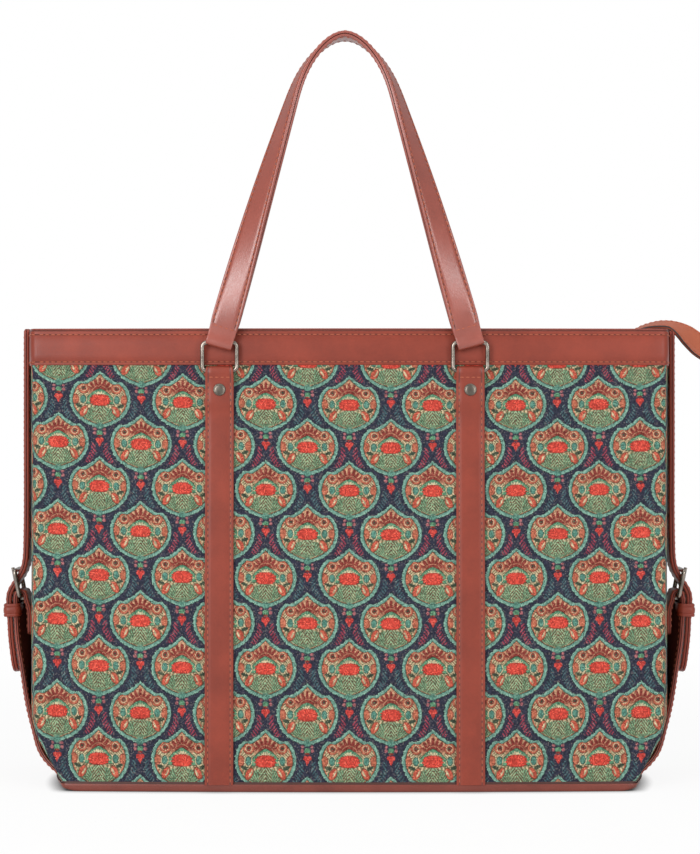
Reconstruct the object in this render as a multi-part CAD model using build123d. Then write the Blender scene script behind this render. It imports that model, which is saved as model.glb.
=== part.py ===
from build123d import *
import math
import os

# A zip-top tote bag of printed jute canvas with leather trim, in millimetres.
# X runs across the front, the front faces -Y, Z is up and the bag stands on Z = 0.

# Bag body
bag_height = 301.0            # floor to the top edge of the leather bands
half_depth_base = 55.0        # middle of the bag to the front canvas, at the floor
half_depth_top = 45.0         # the same at the top edge
crown_radius = 4250.0         # gentle swell of the front and back canvas
middle_half_width = 213.0     # to the gusset canvas, halfway between front and back
panel_half_width = 204.5      # to the gusset canvas, at the front and back panels
panel_half_depth = 50.0       # depth at which panel_half_width is measured
middle_corner_radius = 48.0   # lower corner, halfway between front and back
panel_corner_radius = 50.0    # lower corner of the front and back panels
canvas_thickness = 1.6

# Leather trim
band_height = 24.0            # leather band round the top edge
band_thickness = 1.4
band_turn_in = 14.0           # the band folds over the edge and this far down inside
seam_inset = 10.0             # canvas seam, in from the start of the lower corner
base_lip_height = 5.5         # base leather turned up over the panels
base_leather_thickness = 1.6
base_trim = 0.1               # shaved off the underside, so that the base stands flat
board_thickness = 2.5
board_margin = 6.0

# Straps sewn down the panels, folded at the top round a ring and riveted
strap_width = 18.6
strap_thickness = 2.0
strap_spacing = 163.2         # between the two straps of one side
strap_shift = -2.8            # the pair sits this far off the middle
loop_width = 16.6             # leather round a ring's bar, between the ring's corners
loop_thickness = 1.6
fold_length = 27.0            # the strap is double from its loop down to here
fold_ramp = 6.0               # and thins to one layer over this length
fold_thickness = 3.9
ring_wire = 2.8
ring_width = 25.2
ring_height = 21.0
ring_corner = 2.8             # bend radius of the wire's middle line
ring_bar_level = 273.0        # lower bar of a ring, above the floor
ring_fit = 0.1                # leather loop round the ring's wire
corner_clearance = 5.2        # the strap narrows this far below the ring's bar
rivet_drop = 12.5             # rivet below the ring's lower bar
rivet_diameter = 8.0
rivet_head = 1.3
rivet_post = 2.4
rivet_washer = 1.0

# Carrying handles
handle_width = 18.8
handle_thickness = 4.2
handle_loop_thickness = 1.9
handle_rise = 199.5           # ring's upper bar to the middle of the strap at the top
handle_gap = 0.3              # handle loop to the band, or to the rivet when it hangs
handle_lean_off = 4.8         # degrees that the hanging handle stands off the vertical

# Side straps, each buckled to a belt that comes up round the lower corner
side_strap_width = 19.0
side_strap_thickness = 3.8
belt_thickness = 3.2
side_gap = 0.3                # between layers of leather at the side
side_strap_top = 302.4
tail_end = 71.5
heel_level = 122.8            # heel bar of the buckle, above the floor
heel_reach = 220.8            # and out from the middle of the bag
buckle_wire = 3.0
buckle_width = 26.0
buckle_length = 20.6
buckle_corner = 2.0
buckle_tilt = 11.0            # degrees that the buckle leans out
buckle_fit = 0.2
prong_wire = 2.2
prong_fit = 0.15
keeper_level = 113.7
keeper_height = 8.8
keeper_wall = 1.5
keeper_fit = 0.3
hole_diameter = 3.0
hole_levels = (88.0, 101.0, 163.0, 176.0)

# Zip, recessed between two leather facings
zip_level = 290.7             # underside of the tapes
zip_end = 200.0
tape_thickness = 0.8
tape_half_width = 18.0
facing_thickness = 1.6
facing_half_gap = 13.0
row_gap = 1.5                 # between the two rows of teeth
row_width = 2.4
row_height = 3.0
row_end = 176.0
slider_start = -166.0
slider_length = 11.0
slider_width = 9.4
slider_plate = 1.4
slider_clearance = 0.3
slider_web = 0.9
slider_corner = 2.5
bail_length = 5.0
bail_width = 2.6
bail_height = 4.2
bail_bend = 1.6
bail_crown = 1.2              # metal over the puller's bar
puller_bar = 1.5
puller_length = 23.0
puller_width = 7.6
puller_thickness = 1.4
puller_fit = 0.15
puller_corner = 2.4
puller_rail = 1.6             # metal on each side of the puller's window
puller_window = 8.0
tab_width = 20.0
tab_thickness = 3.0

# Printed medallions, in rows that step half a column over
print_thickness = 0.15
print_column = 54.3
print_row = 57.8
print_top_level = 251.0       # middle of the highest row that shows whole
medallion_half_width = 19.8
medallion_half_height = 19.0
flower_half_width = 6.3

mid_height = bag_height / 2
reach = 70.0                  # depth at which the body's end sections stand, beyond the panels
whole = 4 * bag_height        # wider than the bag every way
floor_level = base_leather_thickness
edge_level = bag_height - band_thickness


def spread(middle, at_panel):
    """Value at the end sections of the body, from the middle and the panel ones."""
    return middle + (at_panel - middle) * (reach / panel_half_depth) ** 2


def body(offset, top):
    """The bag's body as a block, grown by offset all round but at the top."""
    sections = []
    for depth in (-reach, 0.0, reach):
        if depth == 0.0:
            half_width = middle_half_width + offset
            radius = middle_corner_radius + offset
        else:
            half_width = spread(middle_half_width, panel_half_width) + offset
            radius = spread(middle_corner_radius, panel_corner_radius) + offset
        bottom = floor_level - offset
        outline = Pos(0, (bottom + top) / 2) * Rectangle(2 * half_width, top - bottom)
        outline = fillet(outline.vertices().group_by(Axis.Y)[0], radius)
        sections.append(Plane.XZ.offset(-depth) * outline)
    return loft(sections)


def crown_centre():
    """Middle of the sphere that the front canvas lies on, as (y, z)."""
    rise = bag_height
    lean = half_depth_base - half_depth_top
    chord = math.hypot(rise, lean)
    reach_in = math.sqrt(crown_radius ** 2 - (chord / 2) ** 2)
    y = -(half_depth_base + half_depth_top) / 2 + reach_in * rise / chord
    z = mid_height - reach_in * lean / chord
    return y, z


def surface_depth(x, z, offset=0.0):
    """Distance from the bag's middle plane to the canvas, or to a layer on it."""
    y, level = crown_centre()
    radius = crown_radius + offset
    return -(y - math.sqrt(radius ** 2 - x ** 2 - (z - level) ** 2))


crown_y, crown_z = crown_centre()


def front_crown(offset):
    return Pos(0, crown_y, crown_z) * Sphere(crown_radius + offset)


def back_crown(offset):
    return Pos(0, -crown_y, crown_z) * Sphere(crown_radius + offset)


def slab(low, high):
    """Everything between two levels."""
    return Pos(0, 0, (low + high) / 2) * Box(whole, whole, high - low)


def to_back(solid):
    """A front piece turned round to the back."""
    return solid.rotate(Axis.Z, 180)


def to_left(solid):
    """A right-hand piece mirrored to the left."""
    return mirror(solid, about=Plane.YZ)


def ribbon(points, thickness, width):
    """A strap standing on edge: a line in the XZ plane, thickened and widened along Y."""
    line = Spline(*[(x, z) for x, z in points])
    count = 4 * len(points)
    outer = []
    inner = []
    for step in range(count + 1):
        place = line.position_at(step / count)
        along = line.tangent_at(step / count)
        side = Vector(-along.Y, along.X) * (thickness / 2)
        outer.append(place + side)
        inner.append(place - side)
    start = Line(outer[0], inner[0])
    end = Line(inner[-1], outer[-1])
    outline = make_face([Spline(*outer), start, Spline(*inner), end])
    return extrude(Plane.XZ * outline, width / 2, both=True)


def wire_loop(width, height, wire, corner):
    """A round wire bent to a rectangle, flat in X and Y, with its lower bar on the X axis."""
    middle_height = height - wire
    path = Pos(0, middle_height / 2) * RectangleRounded(width - wire, middle_height, corner)
    path = path.wire()
    section = Plane(origin=path @ 0, z_dir=path % 0) * Circle(wire / 2)
    return sweep(section, path=path)


def swung(origin, degrees):
    """A frame at origin whose Y leans out from the vertical, to the front, by degrees."""
    lean = math.radians(degrees)
    return Plane(origin=origin, x_dir=(1, 0, 0), z_dir=(0, -math.cos(lean), -math.sin(lean)))


# Canvas panels and gussets, with a seam on each side of the base
canvas_block = body(0, edge_level)
inner_body = body(-canvas_thickness, bag_height + 20)
front_skin = front_crown(-canvas_thickness)
between_panels = front_skin & back_crown(-canvas_thickness)

front_panel = (canvas_block & front_crown(0)) - front_skin
walls = (canvas_block - inner_body) & between_panels
seam = middle_half_width - middle_corner_radius - seam_inset
seam_cut = Pos(0, 0, mid_height) * Box(2 * seam, 4 * reach, 2 * bag_height)
base_canvas = walls & seam_cut
side_walls = (walls - seam_cut).solids().sort_by(Axis.X)
left_gusset = side_walls[0]
right_gusset = side_walls[-1]

# Stiffening board lying inside on the base canvas
board_half_depth = surface_depth(0, floor_level) - canvas_thickness - board_margin
base_board = Pos(0, 0, floor_level + canvas_thickness + board_thickness / 2) * Box(
    2 * seam, 2 * board_half_depth, board_thickness
)
base_board = fillet(base_board.edges().filter_by(Axis.Z), board_margin)

# Leather under the base, turned up over the foot of each panel
base_block = body(base_leather_thickness + base_trim, bag_height) & slab(0, floor_level + base_lip_height)
base_outer = base_block & front_crown(band_thickness) & back_crown(band_thickness)
base_leather = base_outer - (body(0, bag_height) & front_crown(0) & back_crown(0))

# Leather bands round the top edge, folded over it and down inside
band_bottom = bag_height - band_height
full_block = body(0, bag_height)
band_outer = (full_block & slab(band_bottom, bag_height) & front_crown(band_thickness)) - front_crown(0)
band_inside = front_crown(-canvas_thickness - band_thickness)
band_top = (full_block & slab(edge_level, bag_height) & front_crown(0)) - band_inside
side_inside = body(-canvas_thickness - band_thickness, bag_height + 20)
band_inner = side_inside & slab(edge_level - band_turn_in, edge_level) & front_skin
band_inner = band_inner - band_inside
front_top_band = band_outer + band_top + band_inner

between_bands = band_inside & to_back(band_inside)
side_band_block = body(band_thickness, bag_height) - full_block
side_band_outer = side_band_block & slab(band_bottom, bag_height) & between_panels
side_band_top = (full_block - side_inside) & slab(edge_level, bag_height) & between_bands
side_band_inner = (inner_body - side_inside) & slab(edge_level - band_turn_in, edge_level) & between_bands
side_bands = side_band_outer + side_band_top + side_band_inner
side_bands = side_bands.solids().sort_by(Axis.X)
left_top_band = side_bands[0]
right_top_band = side_bands[-1]

# Frame on the canvas at a ring's lower bar: X points out of the canvas, Y up along it
canvas_lean = math.degrees(math.asin((ring_bar_level - crown_z) / crown_radius))
bar_stand = loop_thickness + ring_fit + ring_wire / 2
handle_loop_radius = handle_loop_thickness + ring_fit + ring_wire / 2
ring_reach = ring_height - ring_wire
strap_places = (strap_shift - strap_spacing / 2, strap_shift + strap_spacing / 2)


def canvas_frame(x):
    lean = math.radians(canvas_lean)
    origin = (x, -surface_depth(strap_spacing / 2, ring_bar_level), ring_bar_level)
    return Plane(origin=origin, x_dir=(0, -math.cos(lean), math.sin(lean)), z_dir=(-1, 0, 0))


def ring_bar(x):
    """Middle of a ring's lower bar."""
    return canvas_frame(x).from_local_coords(Vector(bar_stand, 0, 0))


def panel_strap(x):
    """Strap down the front panel, its top folded round the ring's lower bar."""
    foot = floor_level + base_lip_height
    top = ring_bar_level - corner_clearance
    lane = Pos(x, -2 * half_depth_base, (foot + top) / 2) * Box(strap_width, 4 * half_depth_base, top - foot)
    flat = (front_crown(strap_thickness) - front_crown(0)) & lane
    profile = Polygon(
        (-2, -fold_length),
        (strap_thickness, -fold_length),
        (fold_thickness, -fold_length + fold_ramp),
        (fold_thickness, -rivet_drop + rivet_diameter / 2 + 0.5),
        (2 * bar_stand - 0.1, -0.7),
        (bar_stand, 0),
        (-2, 0),
        align=None,
    )
    profile = profile + Pos(bar_stand, 0) * Circle(bar_stand)
    fold = extrude(canvas_frame(x) * profile, loop_width / 2, both=True)
    wide = extrude(canvas_frame(x) * profile, strap_width / 2, both=True) & lane
    bore = extrude(
        canvas_frame(x) * Pos(bar_stand, 0) * Circle(ring_wire / 2 + ring_fit), ring_width, both=True
    )
    return (flat + fold + wide) - front_crown(0) - bore - rivet(x)


def rivet(x):
    """Rivet through the strap and the panel, with its washer inside."""
    across = Plane(canvas_frame(x).from_local_coords(Vector(fold_thickness, -rivet_drop, 0)))
    outward = canvas_frame(x).x_dir
    head_plane = Plane(origin=across.origin, z_dir=outward)
    head = extrude(head_plane * Circle(rivet_diameter / 2), rivet_head)
    head = chamfer(head.edges().sort_by(lambda edge: edge.center().dot(outward))[-1], rivet_head / 3)
    length = fold_thickness + canvas_thickness + rivet_washer
    post = extrude(head_plane * Circle(rivet_post / 2), -length)
    washer_plane = head_plane.offset(-length)
    washer = extrude(washer_plane * Circle(rivet_diameter / 2 - 0.5), rivet_washer - 0.1)
    return head + post + washer


def ring(x, degrees):
    return swung(ring_bar(x), degrees) * wire_loop(ring_width, ring_height, ring_wire, ring_corner)


def handle(ring_degrees, degrees):
    """Arched strap whose ends are folded round the two upper bars.

    The strap faces the front at the rings and turns a quarter of the way round up to the top.
    """
    half = strap_spacing / 2
    rise = handle_rise
    right = [(half, 0), (0.8 * half, 0.285 * rise), (0.66 * half, 0.48 * rise)]
    right += [(0.44 * half, 0.77 * rise), (0.28 * half, 0.918 * rise)]
    left = [(-x, y) for x, y in reversed(right)]
    arch = Spline(*right, (0, rise), *left)
    stations = (0, 0.04, 0.1, 0.17, 0.25, 0.33, 0.41, 0.46, 0.5, 0.54, 0.59, 0.67, 0.75, 0.83, 0.9, 0.96, 1)
    sections = []
    for station in stations:
        along = arch.tangent_at(station)
        outside = Vector(along.Y, -along.X)
        part = 1 - abs(2 * station - 1)
        turn = math.radians(90) * part ** 0.8
        face = Vector(0, 0, 1) * math.cos(turn) + outside * math.sin(turn)
        width = handle_width if 0 < station < 1 else loop_width
        frame = Plane(origin=arch.position_at(station), x_dir=along.cross(face), z_dir=along)
        sections.append(frame * Rectangle(width, handle_thickness))
    strap = loft(sections)
    for x in (-half, half):
        strap += Pos(x, 0) * Rot(0, 90, 0) * Cylinder(handle_loop_radius, loop_width)
    strap -= Rot(0, 90, 0) * Cylinder(ring_wire / 2 + ring_fit, 2 * strap_spacing)
    bar = swung(ring_bar(strap_places[0]), ring_degrees).from_local_coords(Vector(0, ring_reach, 0))
    return swung((strap_shift, bar.Y, bar.Z), degrees) * strap


ring_up = math.degrees(math.asin((band_thickness + handle_gap + handle_loop_radius - bar_stand) / ring_reach))
ring_up = ring_up - canvas_lean
hang_stand = fold_thickness + rivet_head + handle_gap + handle_loop_radius
ring_down = math.degrees(math.asin((hang_stand - bar_stand) / ring_reach))
ring_down = 180 - canvas_lean - ring_down
handle_up = 0.0
handle_down = 180 - handle_lean_off

front_straps = [panel_strap(x) for x in strap_places]
rivets = [rivet(x) for x in strap_places]
for fastener in rivets:
    front_panel = front_panel - fastener

# Right-hand side strap and the belt it is buckled to; the left ones are mirrored
strap_middle = middle_half_width + band_thickness + side_gap + side_strap_thickness / 2
heel_radius = buckle_wire / 2 + buckle_fit
belt_middle = heel_radius + belt_thickness / 2
buckle_reach = buckle_length - buckle_wire
buckle_lean = math.radians(buckle_tilt)
front_bar_x = heel_reach + buckle_reach * math.sin(buckle_lean)
front_bar_level = heel_level + buckle_reach * math.cos(buckle_lean)
over_heel = heel_reach + heel_radius + belt_thickness + side_gap + side_strap_thickness / 2

strap_line = [
    (strap_middle, side_strap_top),
    (strap_middle, 260),
    (strap_middle, 215),
    (strap_middle, 175),
    (strap_middle + 0.3, 157),
    (strap_middle + 2.6, front_bar_level + 0.4),
    (over_heel - 3.8, front_bar_level - 8.0),
    (over_heel, heel_level + 2.2),
    (over_heel + 0.2, keeper_level + 1),
    (over_heel - 0.7, 98),
    (over_heel - 2.2, 84),
    (over_heel - 3.9, tail_end),
]
inside_tab = middle_half_width + side_gap + belt_thickness / 2
belt_line = [
    (inside_tab, 97),
    (inside_tab, 106),
    (inside_tab + 0.6, 115),
    (heel_reach - belt_middle, heel_level - 0.6),
    (heel_reach - 0.71 * belt_middle, heel_level + 0.71 * belt_middle),
    (heel_reach, heel_level + belt_middle),
    (heel_reach + 0.71 * belt_middle, heel_level + 0.71 * belt_middle),
    (heel_reach + belt_middle, heel_level - 0.6),
    (heel_reach + belt_middle, keeper_level + 1),
    (heel_reach + belt_middle - 1.2, 97),
    (218.9, 74),
    (215.3, 53),
    (212.4, 32.5),
    (208.8, 20.5),
    (203.2, 10.5),
    (196.2, 4.6),
    (187.0, 2.4),
]

buckle_frame = Plane(
    origin=(heel_reach, 0, heel_level),
    x_dir=(0, 1, 0),
    z_dir=(math.cos(buckle_lean), 0, -math.sin(buckle_lean)),
)
right_buckle = buckle_frame * wire_loop(buckle_width, buckle_length, buckle_wire, buckle_corner)

# The prong turns on the heel bar and rests on the outside of the front bar
prong_stand = heel_radius - buckle_fit + prong_fit + prong_wire / 2
prong_reach = buckle_reach + buckle_wire / 2 + 0.6
prong_eye = heel_radius - buckle_fit + prong_fit + 1.3


def prong(grow):
    rod = Pos(0, prong_reach / 2, prong_stand) * Rot(90, 0, 0) * Cylinder(prong_wire / 2 + grow, prong_reach)
    eye = Rot(0, 90, 0) * Cylinder(prong_eye + grow, prong_wire + 0.4 + 2 * grow)
    bore = Rot(0, 90, 0) * Cylinder(heel_radius - buckle_fit + prong_fit, buckle_width)
    solid = rod + eye
    if grow == 0:
        solid = solid - bore
    return buckle_frame * solid


right_prong = prong(0)
strap_face = Pos(0, (tail_end + side_strap_top) / 2) * Rectangle(side_strap_width, side_strap_top - tail_end)
strap_face = fillet(strap_face.vertices().group_by(Axis.Y)[0], side_strap_width / 2 - 0.6)
strap_face = fillet(strap_face.vertices().group_by(Axis.Y)[-1], 3.0)
strap_outline = extrude(Plane.YZ * strap_face, 2 * middle_half_width)
right_side_strap = ribbon(strap_line, side_strap_thickness, side_strap_width) & strap_outline
for level in hole_levels:
    right_side_strap -= Pos(strap_middle, 0, level) * Rot(0, 90, 0) * Cylinder(hole_diameter / 2, 60)
right_side_strap -= prong(side_gap)

right_belt = ribbon(belt_line, belt_thickness, side_strap_width)
heel_bore = buckle_frame * Rot(0, 90, 0) * Cylinder(heel_radius, buckle_width)
right_belt = right_belt - heel_bore - prong(side_gap) - base_block - full_block

keeper_inside = heel_reach + belt_middle - belt_thickness / 2 - keeper_fit - 0.3
keeper_outside = over_heel + side_strap_thickness / 2 + keeper_fit + 0.2
keeper_depth = keeper_outside - keeper_inside
keeper_span = side_strap_width + 2 * keeper_fit
keeper_block = Box(keeper_depth + 2 * keeper_wall, keeper_span + 2 * keeper_wall, keeper_height)
keeper_block = fillet(keeper_block.edges().filter_by(Axis.Z), keeper_wall)
keeper_block = keeper_block - Box(keeper_depth, keeper_span, 2 * keeper_height)
right_keeper = Pos((keeper_inside + keeper_outside) / 2, 0, keeper_level) * keeper_block

# Zip: two tapes under the leather facings, each with its row of teeth
facing_band = side_inside & between_bands
facing_level = zip_level + tape_thickness
facing = facing_band & slab(facing_level, facing_level + facing_thickness)
facing_side = Pos(0, -reach - facing_half_gap, mid_height) * Box(whole, 2 * reach, whole)
front_zip_facing = facing & facing_side
row_low = zip_level + tape_thickness / 2 - row_height / 2


def zip_tape():
    """Front tape with its row of teeth along the inner edge."""
    tape = Pos(0, -(tape_half_width + row_gap / 2) / 2, zip_level + tape_thickness / 2) * Box(
        2 * zip_end, tape_half_width - row_gap / 2, tape_thickness
    )
    row = Pos(0, -(row_gap + row_width) / 2, zip_level + tape_thickness / 2) * Box(
        2 * row_end, row_width, row_height
    )
    row = chamfer(row.edges().filter_by(Axis.X), 0.5)
    return tape + row


front_zip_tape = zip_tape()

# Slider: an upper and a lower plate joined by a web that runs between the rows
lower_plate_top = row_low - slider_clearance
upper_plate_bottom = row_low + row_height + slider_clearance
upper_plate = Pos(0, 0, upper_plate_bottom + slider_plate / 2) * Box(slider_length, slider_width, slider_plate)
upper_plate = fillet(upper_plate.edges().filter_by(Axis.Z), slider_corner)
lower_plate = Pos(0, 0, lower_plate_top - slider_plate / 2) * Box(slider_length, slider_width, slider_plate)
lower_plate = fillet(lower_plate.edges().filter_by(Axis.Z), slider_corner)
web_height = upper_plate_bottom - lower_plate_top + slider_plate
web = Pos(0, 0, (upper_plate_bottom + lower_plate_top) / 2) * Box(slider_length - 4, slider_web, web_height)
plate_top = upper_plate_bottom + slider_plate
bail = Pos(0, 0, plate_top + bail_height / 2) * Box(bail_length, bail_width, bail_height)
bail = fillet(bail.edges().filter_by(Axis.Y).group_by(Axis.Z)[-1], bail_bend)
puller_level = plate_top + bail_height - bail_crown - puller_bar / 2
puller_hole = Pos(0, 0, puller_level) * Rot(90, 0, 0) * Cylinder(puller_bar / 2 + puller_fit, 20)
zip_slider = Pos(slider_start, 0, 0) * (upper_plate + lower_plate + web + bail - puller_hole)

# Puller: a flat tongue on a small frame whose end bar runs through the slider
puller_end = puller_length - puller_bar / 2
tongue = Pos(-puller_end / 2, 0) * Rectangle(puller_end, puller_width)
tongue = fillet(tongue.vertices().group_by(Axis.X)[0], puller_corner)
window = Pos(-puller_window / 2, 0) * Rectangle(puller_window + puller_bar, puller_width - 2 * puller_rail)
tongue = extrude(tongue - window, puller_thickness / 2, both=True)
end_bar = Rot(90, 0, 0) * Cylinder(puller_bar / 2, puller_width)
zip_puller = Pos(slider_start, 0, puller_level) * (tongue + end_bar)

# Leather tab over the end of the zip: it rises over the side and hangs down outside
tab_line = [
    (row_end + 2, facing_level + tab_thickness / 2 + 0.3, 10, 0),
    (row_end + 10, facing_level + tab_thickness / 2 + 3.4, 32, 0),
    (row_end + 20, facing_level + tab_thickness / 2 + 9.6, 30, 2),
    (row_end + 31, 306.3, 6, 4),
    (row_end + 42, 306.2, -8, 6),
    (row_end + 52, 300.0, -45, 24),
    (row_end + 60, 292.6, -38, 40),
    (row_end + 72, 285.5, -26, 42),
]
tab_sections = []
for x, z, slope, turn in tab_line:
    along = Vector(math.cos(math.radians(slope)), 0, math.sin(math.radians(slope)))
    flat_face = Vector(-along.Z, 0, along.X)
    face = flat_face * math.cos(math.radians(turn)) + Vector(0, -1, 0) * math.sin(math.radians(turn))
    place = Plane(origin=(x, 0, z), x_dir=face.cross(along), z_dir=along)
    tab_sections.append(place * RectangleRounded(tab_width, tab_thickness, 0.8))
zip_end_tab = loft(tab_sections)


# Print: fields of colour lying on the panels between the leather
def medallion():
    """Pointed, lobed outline of one printed medallion."""
    w = medallion_half_width
    h = medallion_half_height
    right = [(0, h), (0.88 * w, 0.55 * h), (w, -0.05 * h), (0.58 * w, -0.62 * h), (0, -h)]
    left = [(-x, y) for x, y in reversed(right[1:-1])]
    return Polygon(*right, *left, align=None)


def flower():
    """Flattened flower in the middle of a medallion."""
    w = flower_half_width
    return Polygon((-w, -0.4 * w), (w, -0.4 * w), (0.8 * w, 0.6 * w), (-0.8 * w, 0.6 * w), align=None)


def printed(shape, low, high):
    """The shape at each place of the pattern, as a layer of print between two offsets."""
    clear = full_block & slab(floor_level + base_lip_height, band_bottom)
    for x in strap_places:
        clear -= Pos(x, 0, 0) * Box(strap_width, 4 * reach, 3 * bag_height)
    clear = (clear & front_crown(high)) - front_crown(low)
    rows = math.ceil(2 * bag_height / print_row)
    columns = math.ceil(middle_half_width / print_column)
    shapes = []
    for row in range(-1, rows):
        level = print_top_level - row * print_row / 2
        step = (row % 2) / 2
        for column in range(-columns, columns + 1):
            shapes.append(Pos((column + step) * print_column, level) * shape)
    fields = extrude(Plane.XZ * Sketch(shapes), reach, both=True)
    return Compound((fields & clear).solids())


medallions = printed(medallion(), 0, print_thickness)
flowers = printed(flower(), print_thickness, 2 * print_thickness)

pieces = {
    "front_panel": front_panel,
    "back_panel": to_back(front_panel),
    "left_gusset": left_gusset,
    "right_gusset": right_gusset,
    "base_canvas": base_canvas,
    "base_board": base_board,
    "front_medallions": medallions,
    "back_medallions": to_back(medallions),
    "front_flowers": flowers,
    "back_flowers": to_back(flowers),
    "base_leather": base_leather,
    "front_top_band": front_top_band,
    "back_top_band": to_back(front_top_band),
    "left_top_band": left_top_band,
    "right_top_band": right_top_band,
    "front_strap_left": front_straps[0],
    "front_strap_right": front_straps[1],
    "back_strap_left": to_back(front_straps[1]),
    "back_strap_right": to_back(front_straps[0]),
    "front_ring_left": ring(strap_places[0], ring_up),
    "front_ring_right": ring(strap_places[1], ring_up),
    "back_ring_left": to_back(ring(strap_places[1], ring_down)),
    "back_ring_right": to_back(ring(strap_places[0], ring_down)),
    "front_handle": handle(ring_up, handle_up),
    "back_handle": to_back(handle(ring_down, handle_down)),
    "front_rivets": Compound(rivets),
    "back_rivets": to_back(Compound(rivets)),
    "right_side_strap": right_side_strap,
    "left_side_strap": to_left(right_side_strap),
    "right_belt": right_belt,
    "left_belt": to_left(right_belt),
    "right_buckle": right_buckle,
    "left_buckle": to_left(right_buckle),
    "right_prong": right_prong,
    "left_prong": to_left(right_prong),
    "right_keeper": right_keeper,
    "left_keeper": to_left(right_keeper),
    "front_zip_facing": front_zip_facing,
    "back_zip_facing": to_back(front_zip_facing),
    "front_zip_tape": front_zip_tape,
    "back_zip_tape": to_back(front_zip_tape),
    "zip_slider": zip_slider,
    "zip_puller": zip_puller,
    "zip_end_tab": zip_end_tab,
}

os.makedirs("parts", exist_ok=True)
for name, solid in pieces.items():
    export_step(solid, os.path.join("parts", name + ".step"))
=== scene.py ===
import math

import bpy
import numpy as np
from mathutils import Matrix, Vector, noise


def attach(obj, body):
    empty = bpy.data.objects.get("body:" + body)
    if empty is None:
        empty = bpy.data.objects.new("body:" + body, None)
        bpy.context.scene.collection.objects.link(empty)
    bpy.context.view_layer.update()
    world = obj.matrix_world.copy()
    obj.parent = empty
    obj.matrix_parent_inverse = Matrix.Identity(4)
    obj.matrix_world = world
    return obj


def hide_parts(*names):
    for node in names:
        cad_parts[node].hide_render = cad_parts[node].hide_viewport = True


# A zip-top tote bag of printed jute canvas with leather trim.
# Sizes are in millimetres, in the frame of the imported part, and meshes are made in metres.

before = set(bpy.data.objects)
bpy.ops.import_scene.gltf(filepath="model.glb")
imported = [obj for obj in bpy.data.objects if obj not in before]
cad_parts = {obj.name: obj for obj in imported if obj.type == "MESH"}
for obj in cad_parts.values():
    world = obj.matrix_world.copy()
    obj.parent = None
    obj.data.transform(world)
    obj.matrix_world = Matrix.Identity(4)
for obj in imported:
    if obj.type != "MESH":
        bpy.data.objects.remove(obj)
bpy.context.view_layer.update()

MM = 0.001

# Bag body
bag_height = 301.0
half_depth_base = 55.0
half_depth_top = 45.0
crown_radius = 4250.0
middle_half_width = 213.0
panel_half_width = 204.5
panel_half_depth = 50.0
middle_corner_radius = 48.0
panel_corner_radius = 50.0
canvas_thickness = 1.6
fold_radius = 4.0             # rounding of the canvas from a panel into a gusset
floor_level = 1.6             # top of the leather under the base
corner_turn = 0.49            # sine of the lower corner's turn, before it runs straight to the base
under_cut = 3.0               # slope of the base leather's foot, below the floor level

# Leather trim
band_height = 24.0
band_thickness = 1.4
band_turn_in = 14.0
band_seam = 4.1               # the upper seam, down from the top edge
band_room = 0.25              # drawn thinner by this much, as room for the handles
base_lip_thickness = 1.4
lip_top = 5.0                 # the lip is pressed down to this level
seam_in = 2.0                 # a seam lies this far in from a strap's edge
seam_half = 0.45              # half width of the groove that a seam pulls in
stitch_pitch = 4.0
cross_pitch = 3.4             # the same across a strap
stitch_seat = 0.14            # a seam's thread lies this far below the strap's face
edge_level = bag_height - band_thickness
band_bottom = bag_height - band_height

# Straps sewn down the panels, their rings and rivets
strap_width = 18.6
strap_thickness = 2.0
strap_spacing = 163.2
strap_shift = -2.8
loop_width = 17.0
loop_thickness = 1.6
fold_length = 27.0
fold_thickness = 3.9
ring_wire = 2.8
ring_height = 21.0
ring_bar_level = 273.0
ring_fit = 0.1
rivet_drop = 12.5
rivet_radius = 4.0
rivet_head = 1.3
rivet_post = 1.2
rivet_washer = 1.0

# Carrying handles
handle_width = 18.8
handle_thickness = 4.2
handle_loop_thickness = 1.9
handle_rise = 199.5
handle_gap = 0.3
handle_lean_off = 4.8
handle_cross_seam = 11.0      # row of stitches across a handle, from its ring's bar
strap_cross_seam = 8.2        # the same on a panel strap

# Side straps and belts
side_strap_width = 19.0
side_strap_thickness = 3.8
belt_thickness = 3.2
side_gap = 0.3
side_strap_top = 302.4
tail_end = 71.5
heel_level = 122.8
heel_reach = 220.8
buckle_wire = 3.0
buckle_length = 20.6
buckle_tilt = 11.0
buckle_fit = 0.2
keeper_level = 113.7
keeper_height = 8.6
keeper_wall = 1.4
hole_radius = 1.5
hole_levels = (88.0, 101.0, 163.0, 176.0)

# Zip
zip_level = 290.7
zip_end = 200.0
tape_thickness = 0.8
tape_half_width = 18.0
row_gap = 1.5
row_width = 2.4
row_height = 3.0
row_end = 176.0
tooth_pitch = 2.6
tooth_share = 0.58            # a tooth's share of its pitch
facing_thickness = 1.6
facing_half_gap = 13.0
tab_width = 20.0
tab_thickness = 3.0

# Print on the canvas: columns and rows of medallions that step half a column over
print_column = 54.3
print_row = 56.6
thread_pitch = 0.72

# The photograph's frame, and where its camera stood
photo_height = 854
photo_focal = 2006.0          # in pixels
photo_middle_row = 427.0
camera_across = 0.5
camera_level = 236.5
camera_back = -1355.0
front_scale = 0.6505          # millimetres a pixel at the front canvas
first_row_pixel = 405.1       # middle of the top row of medallions, and how the rows widen below it
row_pixels = 42.3
row_growth = 0.27


# Floor and room, in metres
floor_half = 30.0
floor_albedo = 0.9
ambient = 0.44                # light of the room on the bag
glossy_share = 0.22           # the room that the metal and the leather's sheen see
shadow_share = 0.1            # how much of the lamps' own shadow shows
shadow_near = 0.35            # it fades from this far from the bag
shadow_fade = 0.5             # over this length
painted_shadow_reach = 0.009         # reach of the painted contact shadow, a dark line where the bag stands
# darkness of the painted contact shadow
painted_shadow_depth = 1.3


# Geometry helpers

def running(points):
    """Length along a line of points, from its start."""
    return np.concatenate([[0], np.cumsum(np.linalg.norm(np.diff(points, axis=0), axis=1))])


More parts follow.
